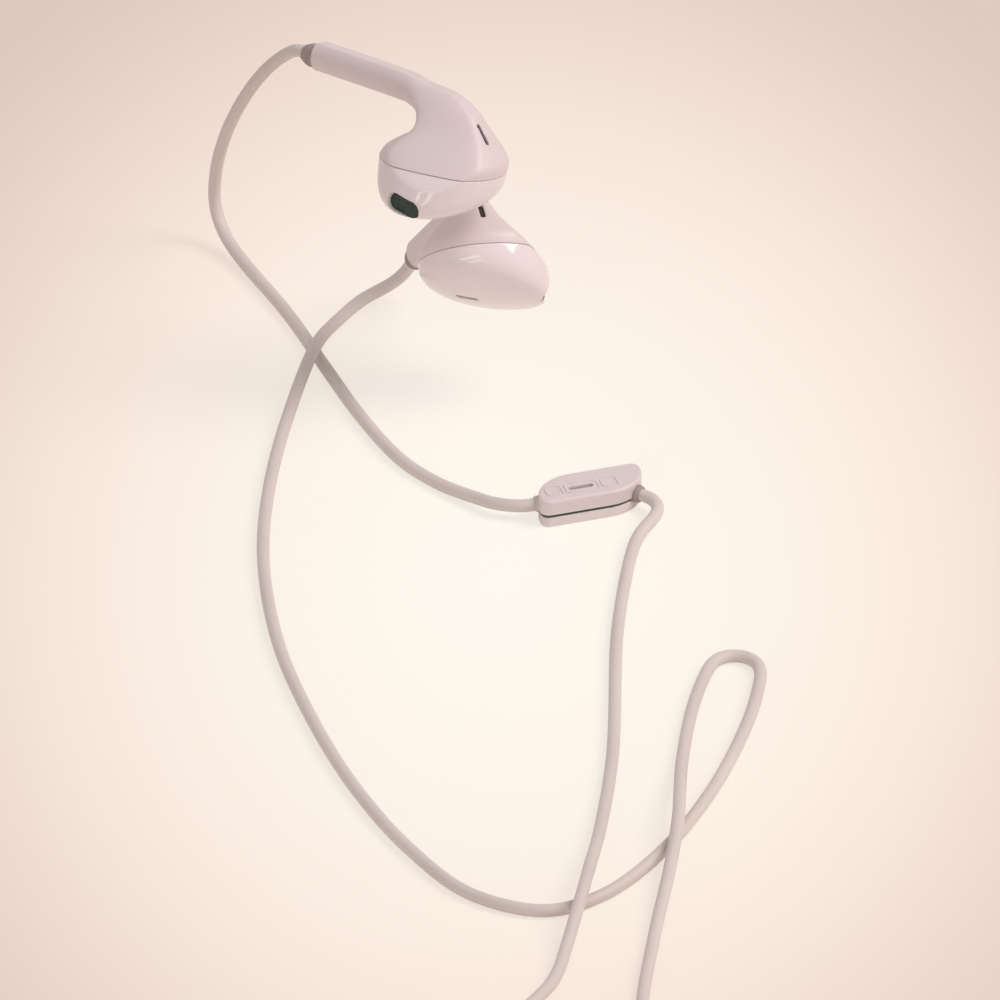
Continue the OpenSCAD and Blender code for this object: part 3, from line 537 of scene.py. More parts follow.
leftRoute = [
    onLeft(reliefTip),
    onLeft(reliefTip + 0.5 * stemWay),
    (-24.5, 55.1, 4.1), (-26.6, 55.3, 2.1), (-29.3, 53.9, 1.4), (-33.4, 45.2, 2.5),
    (-36, 38.2, 3.2), (-39.6, 23.5, 1.2), (-42.2, 4, floorZ), (-42.9, -15, floorZ),
    (-40.8, -37, floorZ), (-36.2, -57, floorZ), (-30.6, -74.4, floorZ), (-23.6, -89.8, floorZ),
    (-15.4, -101.6, floorZ), (-5.8, -105.7, floorZ), (1.5, -101.6, floorZ), (9, -90.8, floorZ),
    (15.6, -75.2, floorZ), (20.4, -57.6, floorZ), (21.9, -48.4, floorZ), (22.2, -43.4, floorZ),
    (21.2, -40.9, floorZ), (18.8, -39.8, floorZ), (16.4, -40.9, floorZ), (15.4, -43.4, floorZ),
    (13.4, -52.8, floorZ), (11.9, -67, 1.1), (11.5, -78.7, 2.7), (11.3, -85.5, overZ),
    (10.3, -95.5, 2), (8, -113, floorZ), (6.4, -134, floorZ), (8.6, -155, floorZ),
    (11.6, -162.8, 1.2),
    junctionMiddle + (-junction["length"] / 2 - 2, junction["branchGap"] + 0.1, 0),
    junctionMiddle + (-junction["length"] / 2, junction["branchGap"], 0),
]

coilMiddle = junctionPlace + wound["fromJunction"]
coilZ = cords["main"] / 2 + wound["tieT"] + 0.1
coilOuter = wound["radius"] + wound["pitch"] * wound["turnsPerLayer"] / 2
coilTurns = wound["turnsPerLayer"] * wound["layers"] + 0.5


# Each layer runs inward or outward by one pitch a turn, and climbs to the next in half a turn
def coilPoint(turn):
    per, pitch = wound["turnsPerLayer"], wound["pitch"]
    layer = math.floor(turn / per)
    part = turn - layer * per
    spare = turn - per * wound["layers"]
    radius = coilOuter - pitch * (part if layer % 2 == 0 else per - part)
    if spare > 0:
        radius = coilOuter + pitch * spare
    nearest = max(1, min(wound["layers"] - 1, math.floor(turn / per + 0.5)))
    climb = nearest - 1 + max(0, min(1, 0.5 + 2 * (turn - nearest * per)))
    angle = math.radians(180 + 360 * turn)
    return coilMiddle + (
        radius * math.cos(angle),
        radius * math.sin(angle),
        coilZ + pitch * climb,
    )


coilSteps = 48
coilLoops = np.array([coilPoint(i / coilSteps) for i in range(int(coilTurns * coilSteps) + 1)])
coilIn = coilLoops[0] + (0, cords["main"], 0)
coilOut = coilLoops[-1] + (0, cords["main"], 0)
plugBack = coilOut + (1, 24, plug["bodyD"] / 2 - coilOut[2])
mainRoute = [
    junctionMiddle + (junction["length"] / 2, 0, 0),
    junctionMiddle + (junction["length"] / 2 + 2, 0, 0),
    coilIn + (-3, 6.2, 0.1),
    coilIn + (-0.8, 4.4, 0),
    coilIn + (0, 2, 0),
    *coilLoops[::4],
    coilOut,
    coilOut + (0, 2, -0.1),
    coilOut + (0.2, 6, -1.1),
    coilOut + (0.6, 10.5, -3.9),
    plugBack + (-0.1, -9.6, 0.5),
    plugBack + (0, -7.2, 0),
    plugBack + (0, -5, 0),
]

lines = {
    "rightUpperCord": cordLine(rightUpperRoute),
    "rightLowerCord": cordLine(rightLowerRoute),
    "leftCord": cordLine(leftRoute),
    "mainCord": cordLine(mainRoute, passes=2, radius=1.0),
}
cordNodes = {
    "rightUpperCord": ["right_upper_cord"],
    "rightLowerCord": ["right_lower_cord"],
    "leftCord": ["left_cord"],
    "mainCord": ["main_lead", "main_coil", "plug_tail"],
}
for name, nodes in cordNodes.items():
    diameter = cords["main" if name == "mainCord" else "branch"]
    makeCord(name, lines[name], diameter, nodes)
print("cords laid:", {name: round(lengthOf(line)) for name, line in lines.items()})

# The earbud's own frame: seam at z = 0, stem towards -X, back towards +Z
# Each station is inner side x, z, outer side x, z, half width and flatness of the stem's back
rise, lift, strip = bud["neckRise"], bud["stemLift"], bud["stripRise"]
headShares = np.array(
    [
        [-0.9, 0.16, 0.995, 0.2, 0.98, 1],
        [-0.68, 0.33, 0.82, 0.45, 0.84, 1],
        [-0.5, 0.46, 0.58, 0.74, 0.66, 1],
        [-0.44, 0.59, 0.38, 0.96, 0.56, 1],
        [-0.55, 0.71, 0, 1.2, 0.39, 0.97],
        [-0.76, 0.77, -0.53, 1.24, 0.29, 0.92],
    ]
)
seamStation = [-headR, bud["seamGap"] / 2, headR, bud["seamGap"] / 2, headR, 1]
stemStations = [
    [x, rise + up - stemR, x, rise + up + strip * stemR, stemR, 0.85]
    for x, up in ((-1.1 * headR, 0), (-bud["stemReach"], lift))
]
headStations = headShares * (headR, rise, headR, rise, headR, 1)
stations = np.vstack([seamStation, headStations, stemStations])
flank = {
    "azimuth": 296,
    "slope": 44,
    "distance": 4.7,
    "rise": 0.35,
    "top": 5,
    "blend": 1.5,
    "soft": 0.6,
    "share": 0.85,
}
flankOut = turnZ(flank["azimuth"], (1, 0, 0))
flankLean = math.radians(flank["slope"])
flankWay = flankOut * math.cos(flankLean) + (0, 0, math.sin(flankLean))
flankPush = flankOut / math.cos(flankLean)


# The side that rests in the ear is pressed flatter
def flattened(p, inset=0):
    above = p[..., 2] - flank["top"]
    relieved = flank["rise"] * (above + np.hypot(above, flank["blend"])) / 2
    over = p @ flankWay - flank["distance"] - relieved
    over = np.maximum(over + inset, 0)
    return p - flankPush * (flank["share"] * over * over / (over + flank["soft"]))[..., None]


def stationAt(t):
    i = min(int(t), len(stations) - 2)
    f = t - i
    a, b, c, d = (stations[max(0, min(len(stations) - 1, i + k))] for k in (-1, 0, 1, 2))
    return 0.5 * (
        2 * b + (c - a) * f + (2 * a - 5 * b + 4 * c - d) * f**2 + (3 * b - a - 3 * c + d) * f**3
    )


crown, crownSoft = 0.1, 0.012


def backRing(t, turns, inset=0):
    innerX, innerZ, outerX, outerZ, side, flatness = stationAt(t)
    over = np.cos(turns) - flatness
    cut = (over + np.sqrt(over**2 + crownSoft**2)) / 2 * (1 - crown) * min(1, (1 - flatness) / 0.03)
    c = np.cos(turns) - cut
    middle = np.array([(innerX + outerX) / 2, 0, (innerZ + outerZ) / 2])
    half = np.array([outerX - innerX, 0, outerZ - innerZ]) / 2
    reach = half * (1 - inset / np.linalg.norm(half))
    ring = middle + c[:, None] * reach + np.stack([0 * c, (side - inset) * np.sin(turns), 0 * c], -1)
    return flattened(ring, inset)


# Steps from low to high, finer inside the zones given as (from, to, step)
def gradedSteps(low, high, step, zones):
    stops, here = [low], low
    while here < high - 1e-9:
        size = min([z[2] for z in zones if z[0] - 1e-9 <= here < z[1]] + [step])
        ahead = [z[0] for z in zones if here < z[0] - 1e-9]
        here = min([here + size, high] + [a for a in ahead if a < here + size])
        stops.append(here)
    if len(stops) > 2 and stops[-1] - stops[-2] < 0.3 * step and not zones:
        stops.pop(-2)
    return np.array(stops)


openings = {
    "port": {
        "azimuth": 279.7, "slope": -3, "roll": 78, "radius": 1.03 * headR,
        "z": -0.73 * bud["frontDepth"], "size": (4.8, 2.4), "lip": 0.4, "depth": 1.1,
    },
    "vent": {
        "azimuth": 96.4, "slope": -73, "roll": -16, "radius": 0.295 * headR,
        "z": -0.814 * bud["frontDepth"], "size": (3.0, 0.9), "lip": 0.12, "depth": 0.2,
    },
    "slit": {
        "azimuth": 13.1, "slope": 42.4, "roll": -2.3,
        "place": (0.623 * headR, 0.16 * headR, 0.669 * rise), "size": (3.1, 0.7), "lip": 0.12,
        "depth": 0.45,
    },
}


# Origin, length axis, width axis and outward axis of an opening
def openingAxes(spec):
    z = spec.get("z", 0)
    origin = spec.get("place") or (*(turnZ(spec["azimuth"], (spec["radius"], 0, 0))[:2]), z)

    def aimed(v):
        return turnZ(spec["azimuth"], turnY(90 - spec["slope"], turnZ(spec["roll"], v)))

    return np.array(origin, float), aimed((1, 0, 0)), aimed((0, 1, 0)), aimed((0, 0, 1))


nearFace, wallBelow = 2.4, 0.12  # how far off a face still counts, and the wall past the panel


# Removes the faces over a slot, draws the edge onto its outline, rounds the lip and adds the wall
def cutOpening(points, faces, spec):
    origin, lengthAxis, widthAxis, outward = openingAxes(spec)
    faces = np.array([f if len(f) == 4 else [*f, f[-1]] for f in faces])
    away = points - origin
    x, y, h = away @ lengthAxis, away @ widthAxis, away @ outward
    halfL, halfW = spec["size"][0] / 2, spec["size"][1] / 2
    spine = np.clip(x, halfW - halfL, halfL - halfW)
    gap = np.maximum(np.hypot(x - spine, y), 1e-6)
    outside = np.where((np.abs(h) < nearFace) & (np.abs(x) < halfL + 1), gap - halfW, 9)
    faces = faces[(outside[faces] >= 0).all(1)]
    edges = np.concatenate([faces[:, [i, (i + 1) % 4]] for i in range(4)])
    edges = edges[edges[:, 0] != edges[:, 1]]
    keys = np.sort(edges, 1)
    keys = keys[:, 0] * len(points) + keys[:, 1]
    _, first, counts = np.unique(keys, return_index=True, return_counts=True)
    rim = edges[first[counts == 1]]
    rim = rim[(outside[rim] < 1).all(1)]
    lipVerts = np.unique(rim)
    moved = points.copy()
    scale = halfW / gap[lipVerts]
    moved[lipVerts] = (
        origin
        + (spine + (x - spine) * (halfW / gap))[lipVerts, None] * lengthAxis
        + (y[lipVerts] * scale)[:, None] * widthAxis
        + h[lipVerts, None] * outward
    )
    outside[lipVerts] = 0
    lip = spec["lip"]
    inner = np.clip(lip - outside, 0, lip)
    drop = np.where(outside < lip, lip - np.sqrt(np.maximum(lip**2 - inner**2, 0)), 0)
    moved -= drop[:, None] * outward
    depth = -(spec["depth"] + wallBelow)
    rimHeight = (moved[lipVerts] - origin) @ outward
    wallTop = len(moved)
    newIndex = dict(zip(lipVerts.tolist(), range(wallTop, wallTop + len(lipVerts))))
    below = moved[lipVerts] - (rimHeight - depth)[:, None] * outward
    moved = np.vstack([moved, below])
    walls = [[b, a, newIndex[a], newIndex[b]] for a, b in rim.tolist()]
    kept = [f[:3] if f[2] == f[3] else f for f in faces.tolist()]
    return moved, kept + walls


# Drops the points that no face uses
def tidied(points, faces):
    used = np.unique(np.concatenate([np.array(f) for f in faces]))
    place = np.full(len(points), -1)
    place[used] = np.arange(len(used))
    return points[used], [place[f].tolist() for f in faces]


def backShell():
    turns = np.radians(gradedSteps(0, 360, 2.6, [(4, 34, 0.9), (322, 344, 1.4)]))[:-1]
    heights = gradedSteps(0, 7.0, 0.055, [(2.1, 3.6, 0.03)])
    rings = []
    # The rim at the seam turns in with a small round
    rimR = bud["rimR"]
    first = backRing(0, turns)
    rings.append(backRing(0, turns, bud["wall"]))
    for along, across in quarterRound(4)[::-1]:
        ring = backRing(0, turns, rimR * across)
        ring[:, 2] = first[:, 2] + rimR * (1 - along) if across < 1 else first[:, 2]
        rings.append(ring)
    start = float(np.interp(rimR * 1.4, [0, 0.16 * rise], [0, 1]))
    rings += [backRing(t, turns) for t in heights if t > start]
    # The stem runs straight to its rounded end, which takes the boot in a shallow bore
    endR = 0.35
    stemStops = np.linspace(7, 8, 30)[1:-1]
    rings += [backRing(t, turns) for t in stemStops]
    for along, across in quarterRound(4):
        ring = backRing(8, turns, endR * across)
        ring[:, 0] = -bud["stemReach"] + endR * (1 - along)
        rings.append(ring)
    for radius, depth in ((1.5, 0), (1.42, 0.04), (1.4, 0.12), (1.4, 0.7)):
        ring = stemEnd + np.stack(
            [np.full(len(turns), depth), radius * np.sin(turns), radius * np.cos(turns)], -1
        )
        rings.append(ring)
    points, faces = skinRings(rings)
    return tidied(*cutOpening(points, faces, openings["slit"]))


def frontRing(latitude, turns, inset=0):
    deep = math.sin(latitude) ** (2 / bud["fullness"])
    z = -bud["seamGap"] / 2 - (bud["frontDepth"] - inset) * deep
    drift = bud["poleShift"] * deep ** bud["polePower"]
    middle = turnZ(bud["poleAzimuth"], (drift, 0, z))
    out = (headR - inset) * math.cos(latitude)
    ring = middle + np.stack([out * np.cos(turns), out * np.sin(turns), 0 * turns], -1)
    return flattened(ring, inset)


def frontShell():
    turns = np.radians(gradedSteps(0, 360, 3.2, [(50, 130, 1.1), (246, 316, 0.85)]))[:-1]
    rimR = bud["rimR"]
    rings = [frontRing(0, turns, bud["wall"])]
    first = frontRing(0, turns)
    for along, across in quarterRound(4)[::-1]:
        ring = frontRing(0, turns, rimR * across)
        ring[:, 2] = first[:, 2] - (rimR * (1 - along) if across < 1 else 0)
        rings.append(ring)
    # Equal steps of depth near the seam, where the latitude hardly moves
    nearSeam = [
        math.asin((d / bud["frontDepth"]) ** (bud["fullness"] / 2)) for d in (0.28, 0.4, 0.55, 0.7)
    ]
    steps = gradedSteps(math.degrees(nearSeam[-1]) + 1.1, 89, 2.2, [(5, 68, 1.1)])
    rings += [frontRing(a, turns) for a in nearSeam + np.radians(steps).tolist()]
    points, faces = skinRings(rings, endFan=True)
    for name in ("port", "vent"):
        points, faces = cutOpening(points, faces, openings[name])
    return tidied(points, faces)


# A slot-shaped panel, slightly domed, at the foot of an opening
def meshPanel(spec):
    origin, lengthAxis, widthAxis, outward = openingAxes(spec)
    halfL, halfW = spec["size"][0] / 2 - 0.02, spec["size"][1] / 2 - 0.02
    turn = np.arange(64) * 2 * math.pi / 64
    rings = []
    for share, height in ((1, -0.25), (1, 0), (0.8, 0.03), (0.55, 0.06), (0.3, 0.08), (0.1, 0.09)):
        x = np.cos(turn) * halfW + np.sign(np.cos(turn)) * (halfL - halfW)
        y = np.sin(turn) * halfW
        level = height - spec["depth"]
        ring = origin + (x * share)[:, None] * lengthAxis + (y * share)[:, None] * widthAxis
        rings.append(ring + level * outward)
    return skinRings(rings, startFan=True, endFan=True)


# The soft boot that leads the cord out of the stem: a dark collar and a taper with two grooves
def bootRings():
    full, tip, length = 1.6, cords["branch"] / 2 + 0.1, cords["reliefLength"]
    profile = [(-0.6, 1.25), (0.0, 1.25), (0.1, full - 0.06), (0.16, full)]
    profile += [(0.62, full), (0.7, full - 0.05), (0.74, full - 0.16), (0.84, full - 0.16)]
    profile += [(0.88, full - 0.08), (0.96, full - 0.03)]
    for share in np.linspace(0.4, 1, 10):
        profile.append((length * share, full - (full - tip) * ((share - 0.4) / 0.6) ** 1.2))
    profile += [(length + 0.05, tip - 0.06), (length + 0.02, cords["branch"] / 2 - 0.02)]
    profile += [(length - 0.5, cords["branch"] / 2 - 0.1)]
    return latheRings(stemEnd, stemWay, profile)


rootRings = 17  # the boot's rings up to the end of its grey root
backMesh, frontMesh = backShell(), frontShell()
panels = {name: meshPanel(spec) for name, spec in openings.items()}
bootMesh = skinRings(bootRings(), startFan=True)
sides = {"right": (onRight, 1), "left": (onLeft, -1)}
for side, (placed, order) in sides.items():
    looks = (
        ("BackShell", backMesh, satinAbs, "satin_shell", "back_shell"),
        ("FrontShell", frontMesh, glossAbsPaintedPaler, "gloss_shell", "front_shell"),
        ("PortMesh", panels["port"], greenCloth, "green_mesh", "port_mesh"),
        ("SlitMesh", panels["slit"], blackMesh, "dark_mesh", "slit_mesh"),
        ("VentMesh", panels["vent"], brightMesh, "dark_mesh", "vent_mesh"),
        ("CordRelief", bootMesh, cordJacket, "grey_rubber", "cord_relief"),
    )
    for suffix, (points, faces), material, slotName, node in looks:
        faces = [f[::order] for f in faces]
        piece = makePiece(side + suffix, placed(points), faces, material, [f"{side}_{node}"])
        if suffix == "CordRelief":
            # The root against the stem is moulded in the darker compound
            piece.data.materials.append(greyTpeAndRecessShade)
            for polygon in piece.data.polygons:
                if max(polygon.vertices) < latheSides * rootRings:
                    polygon.material_index = 1
print("earbuds made")


# Two large rounded corners and two small ones, the same turned half round
def leafOutline(inset, cornerSteps=28):
    l, w = remote["length"] / 2 - inset, remote["width"] / 2 - inset
    reach, r = remote["cornerReach"] - inset, max(remote["cornerR"] - inset, 0.05)
    half = []
    for i in range(cornerSteps + 1):
        a = math.radians(90 * i / cornerSteps)
        half.append((l - reach + reach * math.sin(a), -w + (2 * w - r) * (1 - math.cos(a))))
    half += [
        (l - r + r * math.cos(math.radians(a)), w - r + r * math.sin(math.radians(a)))
        for a in range(10, 100, 10)
    ]
    return np.array(half + [(-x, -y) for x, y in half])


def keyOutline(length, width, r, steps=8):
    points = []
    for cx, cy, start in ((1, 1, 0), (-1, 1, 90), (-1, -1, 180), (1, -1, 270)):
        for i in range(steps + 1):
            a = math.radians(start + 90 * i / steps)
            points.append(
                (cx * (length / 2 - r) + r * math.cos(a), cy * (width / 2 - r) + r * math.sin(a))
            )
    return np.array(points)


def atHeight(outline, z):
    return np.hstack([outline, np.full((len(outline), 1), float(z))])


# Fills a flat face between an outer loop and the loops of its holes, by vertex number
def flatFill(points, loops):
    order = [i for loop in loops for i in loop]
    triangles = tessellate_polygon([[Vector(points[i]) for i in loop] for loop in loops])
    return [[order[i] for i in t] for t in triangles]


def facesUp(points, faces, up):
    out = []
    for f in faces:
        a, b, c = (points[i] for i in f[:3])
        out.append(f if np.cross(b - a, c - a)[2] * up > 0 else f[::-1])
    return out


# A cover: rings from the seam round the edge to the flat face, which has holes with round lips
def coverMesh(rings, flatZ, up, holes):
    parts = [skinRings(rings)]
    sidesCount = len(rings[0])
    base = len(parts[0][0])
    loops = [list(range((len(rings) - 1) * sidesCount, base))]
    for outlineAt, lip, depth in holes:
        holeRings = [atHeight(outlineAt(lip + 0.05), flatZ)]
        holeRings += [
            atHeight(outlineAt(lip * (1 - along)), flatZ - up * lip * across)
            for along, across in quarterRound(4)
        ]
        holeRings.append(atHeight(outlineAt(0), flatZ - up * depth))
        loops.append(list(range(base, base + len(holeRings[0]))))
        mesh = skinRings(holeRings)
        parts.append(mesh)
        base += len(mesh[0])
    points, faces = joined(parts)
    return points, faces + facesUp(points, flatFill(points, loops), up)


top = remote["thickness"]
boardTop = remote["boardZ"] + remote["boardT"]
edge, seamLip = remote["edgeR"], 0.08
keys = {
    "y": -0.6,
    "centreX": -1.5,
    "centreLength": 4.4,
    "volumeLength": 2.1,
    "width": 2.3,
    "r": 0.6,
    "gap": 0.06,
    "lip": 0.05,
    "recess": (0.78, 0.85, 0.35),
}
keyPitch = keys["centreLength"] / 2 + keys["volumeLength"] / 2 + 0.6
keyPlaces = {
    "volumeUpButton": (1, keys["volumeLength"], "volume_up", "volume_up_button"),
    "centreButton": (0, keys["centreLength"], "centre", "centre_button"),
    "volumeDownButton": (-1, keys["volumeLength"], "volume_down", "volume_down_button"),
}


def keyHole(step, length):
    middle = np.array([keys["centreX"] + step * keyPitch, keys["y"]])
    grown = keys["gap"]

    def outlineAt(more):
        g = grown + more
        return middle + keyOutline(length + 2 * g, keys["width"] + 2 * g, keys["r"] + g)

    return outlineAt


# From the seam, over its small lip and up the side, to the round at the flat face
def coverRings(seamZ, flatZ, up):
    rings = [atHeight(leafOutline(remote["wall"]), seamZ)]
    for along, across in quarterRound(3)[::-1]:
        rings.append(atHeight(leafOutline(seamLip * across), seamZ + up * seamLip * (1 - along)))
    rings.append(atHeight(leafOutline(0), flatZ - up * (edge + 0.1)))
    for along, across in quarterRound(6):
        rings.append(atHeight(leafOutline(edge * across), flatZ - up * edge * (1 - along)))
    return rings + [atHeight(leafOutline(edge + 0.06), flatZ)]


topRings = coverRings(boardTop, top, 1)
keyHoles = [(keyHole(step, length), keys["lip"], 0.9) for step, length, _, _ in keyPlaces.values()]
points, faces = coverMesh(topRings, top, 1, keyHoles)
makePiece("remoteTopCover", onRemote(points), faces, satinAbs, ["remote_top_cover"])

bottomRings = coverRings(remote["boardZ"], 0, -1)


def soundHole(more):
    turn = np.arange(32) * 2 * math.pi / 32
    r = 0.3 + more
    return np.stack([3.2 + r * np.cos(turn), r * np.sin(turn)], -1)


points, faces = coverMesh(bottomRings, 0, -1, [(soundHole, 0.08, 0.7)])
makePiece(
    "remoteBottomCover", onRemote(points), faces, satinAbs, ["remote_bottom_cover"]
)

# The board's edge shows as a dark line between the covers
boardBevel, boardPlay = 0.04, 0.002
boardRings = [
    atHeight(leafOutline(remote["boardInset"] + inset), z)
    for inset, z in (
        (boardBevel, remote["boardZ"] + boardPlay),
        (0, remote["boardZ"] + boardBevel),
        (0, boardTop - boardBevel),
        (boardBevel, boardTop - boardPlay),
    )
]
points, faces = skinRings(boardRings, startFan=True, endFan=True)
makePiece("remoteBoard", onRemote(points), faces, solderResist, ["remote_board"])

for name, (step, length, body, node) in keyPlaces.items():
    middle = np.array([keys["centreX"] + step * keyPitch, keys["y"]])
    lip = keys["lip"]

    def keyAt(inset, z):
        outline = keyOutline(length - 2 * inset, keys["width"] - 2 * inset, keys["r"] - inset)
        return atHeight(middle + outline, z)

    keyRings = [keyAt(0, top - 0.95), keyAt(0, top - lip)]
    keyRings += [keyAt(lip * across, top - lip * (1 - along)) for along, across in quarterRound(4)][1:]
    keyRings.append(keyAt(lip + 0.05, top))
    if step:
        # The outer buttons have a shallow thumb dish
        keyRings += [keyAt(0.3, top - 0.01), keyAt(0.5, top - 0.04)]
        points, faces = skinRings(keyRings, startFan=True, endFan=True)
    else:
        share, width, depth = keys["recess"]
        reach = length * share

        def recessAt(more):
            return middle + keyOutline(reach + 2 * more, width + 2 * more, width / 2 + more - 0.001)

        walls, faces = coverMesh(keyRings, top, 1, [(recessAt, 0.08, depth)])
        recessFloor = skinRings([atHeight(recessAt(0), top - depth)], endFan=True)
        points, faces = joined([(walls, faces), recessFloor])
    piece = makePiece(name, onRemote(points), faces, satinAbs, [node], body)
    if not step:
        # The recess floor takes the darker grey compound as painted shade, standing in for the shadow
        # that falls into the recess
        piece.data.materials.append(greyTpeAndRecessShade)
        for polygon in piece.data.polygons[-len(recessFloor[1]) :]:
            polygon.material_index = 1

entryProfile = [(-0.5, 1.1), (0.3, 1.1), (0.42, 1.06), (0.5, 0.98), (0.5, 0.84), (0.2, 0.8)]
entryRings = latheRings((entryX, 0, remote["cordZ"]), (-1, 0, 0), entryProfile)
points, faces = skinRings(entryRings, startFan=True)
makePiece(
    "remoteEntryRelief", onRemote(points), faces, cordJacket, ["remote_entry_relief"]
)
exitProfile = [(-0.5, 1.25), (0.15, 1.25), (0.25, 1.2), (0.3, 1.1), (0.4, 1.1), (0.45, 1.2)]
exitProfile += [(0.55, 1.22), (0.85, 1.14), (1.02, 1.06), (1.1, 0.96), (1.1, 0.84), (0.8, 0.8)]
points, faces = skinRings(latheRings(exitPlace, exitWay, exitProfile), startFan=True)
makePiece(
    "remoteExitRelief", onRemote(points), faces, greyTpeAndRecessShade, ["remote_exit_relief"]
)
print("remote made")

junctionRound = 0.7
junctionRings = []
for along, across in quarterRound(6)[::-1]:
    junctionRings.append((junctionRound * across, junctionRound * (1 - along)))
junctionProfile = [(junctionRound + 0.06, 0)] + junctionRings
junctionProfile += [(0, 1.66), (0.06, 1.68), (0.06, 1.72), (0, 1.74)]
junctionProfile += [
    (inset, junction["thickness"] - z)
    for inset, z in ([(junctionRound + 0.06, 0)] + junctionRings)[::-1]
]
rings = [
    atHeight(
        keyOutline(
            junction["length"] - 2 * inset, junction["width"] - 2 * inset, max(1.6 - inset, 0.5), 10
        ),
        z,
    )
    for inset, z in junctionProfile
]
points, faces = skinRings(rings, startFan=True, endFan=True)
junctionPiece = makePiece(
    "junctionCover", points + junctionPlace, faces, satinAbs, ["junction_cover"]
)

# The strap goes round all the layers
tiePart = 0.5 + wound["tieTurn"] / 360
leastR = coilOuter - wound["pitch"] * (wound["turnsPerLayer"] - 1 + tiePart) - 0.15
roomIn = math.sqrt(leastR**2 - wound["tieWidth"] ** 2 / 4) - cords["main"] / 2 - 0.15
roomOut = coilOuter - wound["pitch"] * (1 - tiePart) + cords["main"] / 2 + 0.3
roomTop = coilZ + wound["pitch"] * (wound["layers"] - 1) + cords["main"] / 2 + 0.1
strapT, strapRound = wound["tieT"], 0.9
strapMiddle = np.array([(roomIn + roomOut) / 2, (roomTop + strapT) / 2])
strapSize = np.array([roomOut - roomIn, roomTop - strapT])
strapRings = []
halfWidth, strapEdge = wound["tieWidth"] / 2, 0.1
strapSide = [(strapEdge, 0), (0, strapEdge), (0, strapT - strapEdge), (strapEdge, strapT)]
strapLoop = [(-halfWidth + d, grow) for d, grow in strapSide]
strapLoop += [(halfWidth - d, grow) for d, grow in strapSide[::-1]]
for y, grow in strapLoop + strapLoop[:1]:
    outline = strapMiddle + keyOutline(*(strapSize + 2 * grow), strapRound + grow, 8)
    ring = np.stack([outline[:, 0], np.full(len(outline), y), outline[:, 1]], -1)
    strapRings.append(ring)
points, faces = skinRings(strapRings)
tie = makePiece(
    "cordTie", turnZ(wound["tieTurn"], points) + coilMiddle, faces, greyTpeAndRecessShade, ["cord_tie"]
)

plugWay = (0, 1, 0)
plugR, jackR, bodyEnd = plug["bodyD"] / 2, plug["jackD"] / 2, plug["bodyLength"]
jackEnd = bodyEnd + plug["jackLength"]
tipStart = jackEnd - plug["tipLength"]
contactT, bandT, boreR, bodyRound = (
    plug[name] for name in ("contactT", "bandT", "boreR", "bodyRound")
)
outerRing = tipStart - 2 * contactT - 2 * bandT
innerRing = outerRing + contactT + bandT


def lathePiece(name, profile, material, node, startFan=True, endFan=True):
    points, faces = skinRings(latheRings(plugBack, plugWay, profile, 64), startFan, endFan)
    return makePiece(name, points, faces, material, [node])


mainR = cords["main"] / 2
bootProfile = [(-plug["reliefLength"], mainR), (-plug["reliefLength"], mainR + 0.15)]
bootProfile += [(-plug["reliefLength"] + 0.1, mainR + 0.25)]
for i in range(5):
    start = -4.6 + 0.85 * i
    radius = mainR + 0.3 + 0.13 * i
    bootProfile += [(start, radius), (start + 0.45, radius + 0.05), (start + 0.5, radius - 0.12)]
    bootProfile += [(start + 0.75, radius - 0.12)]
bootProfile += [(-0.25, plugR * 0.66), (0, plugR * 0.66)]
plugPieces = [
    lathePiece("plugRelief", bootProfile, greyTpeAndRecessShade, "plug_relief"),
    lathePiece(
        "plugBody",
        [(0, plugR - bodyRound)]
        + [
            (bodyRound * (1 - across), plugR - bodyRound + bodyRound * along)
            for along, across in quarterRound(6)
        ]
        + [(3.2, plugR), (3.28, plugR - 0.06), (3.42, plugR - 0.06), (3.5, plugR)]
        + [(bodyEnd - bodyRound, plugR)]
        + [
            (bodyEnd - bodyRound * (1 - along), plugR - bodyRound * across)
            for along, across in quarterRound(6)
        ]
        + [(bodyEnd, jackR + 0.15), (bodyEnd - 0.1, jackR + 0.02)]
        + [(bodyEnd - plug["jackRoot"], jackR + 0.02)],
        satinAbs,
        "plug_body",
    ),
]


# A turned contact with tiny rounds at its edges
def contactProfile(start, end, edgeR=0.08):
    half = [(0, boreR), (0, jackR - edgeR), (edgeR * 0.3, jackR - edgeR * 0.3), (edgeR, jackR)]
    return [(start + d, r) for d, r in half] + [(end - d, r) for d, r in half[::-1]]


for name, node, start, end in (
    ("plugSleeve", "plug_sleeve", bodyEnd - plug["jackRoot"], outerRing - bandT),
    ("plugOuterRing", "plug_outer_ring", outerRing, outerRing + contactT),
    ("plugInnerRing", "plug_inner_ring", innerRing, innerRing + contactT),
):
    plugPieces.append(lathePiece(name, contactProfile(start, end), goldPlating, node))
tipProfile = [(tipStart, 0.5), (tipStart, jackR - 0.06), (tipStart + 0.06, jackR)]
tipProfile += [(tipStart + 0.5, jackR), (tipStart + 0.66, jackR - 0.06)]
tipProfile += [
    (tipStart + 1.1 + 0.4 * math.sin(a), jackR - 0.36 + 0.3 * (1 - math.cos(a)))
    for a in np.radians([-60, -40, -20, 0, 20, 40, 60])
]
tipProfile += [(tipStart + 1.72, jackR - 0.08), (tipStart + 1.85, jackR - 0.02)]
tipProfile += [(tipStart + 2.4, jackR - 0.45), (tipStart + 3.0, jackR - 0.86)]
tipProfile += [(tipStart + 3.3, 0.62), (tipStart + 3.45, 0.38), (tipStart + 3.5, 0.12)]
plugPieces.append(lathePiece("plugTip", tipProfile, goldPlating, "plug_tip"))
insulatorParts = []
for start in (outerRing, innerRing, tipStart):
    profile = [(start - bandT, boreR), (start - bandT, jackR - 0.03)]
    profile += [(start, jackR - 0.03), (start, boreR)]
    insulatorParts.append(skinRings(latheRings(plugBack, plugWay, profile, 64), True, True))
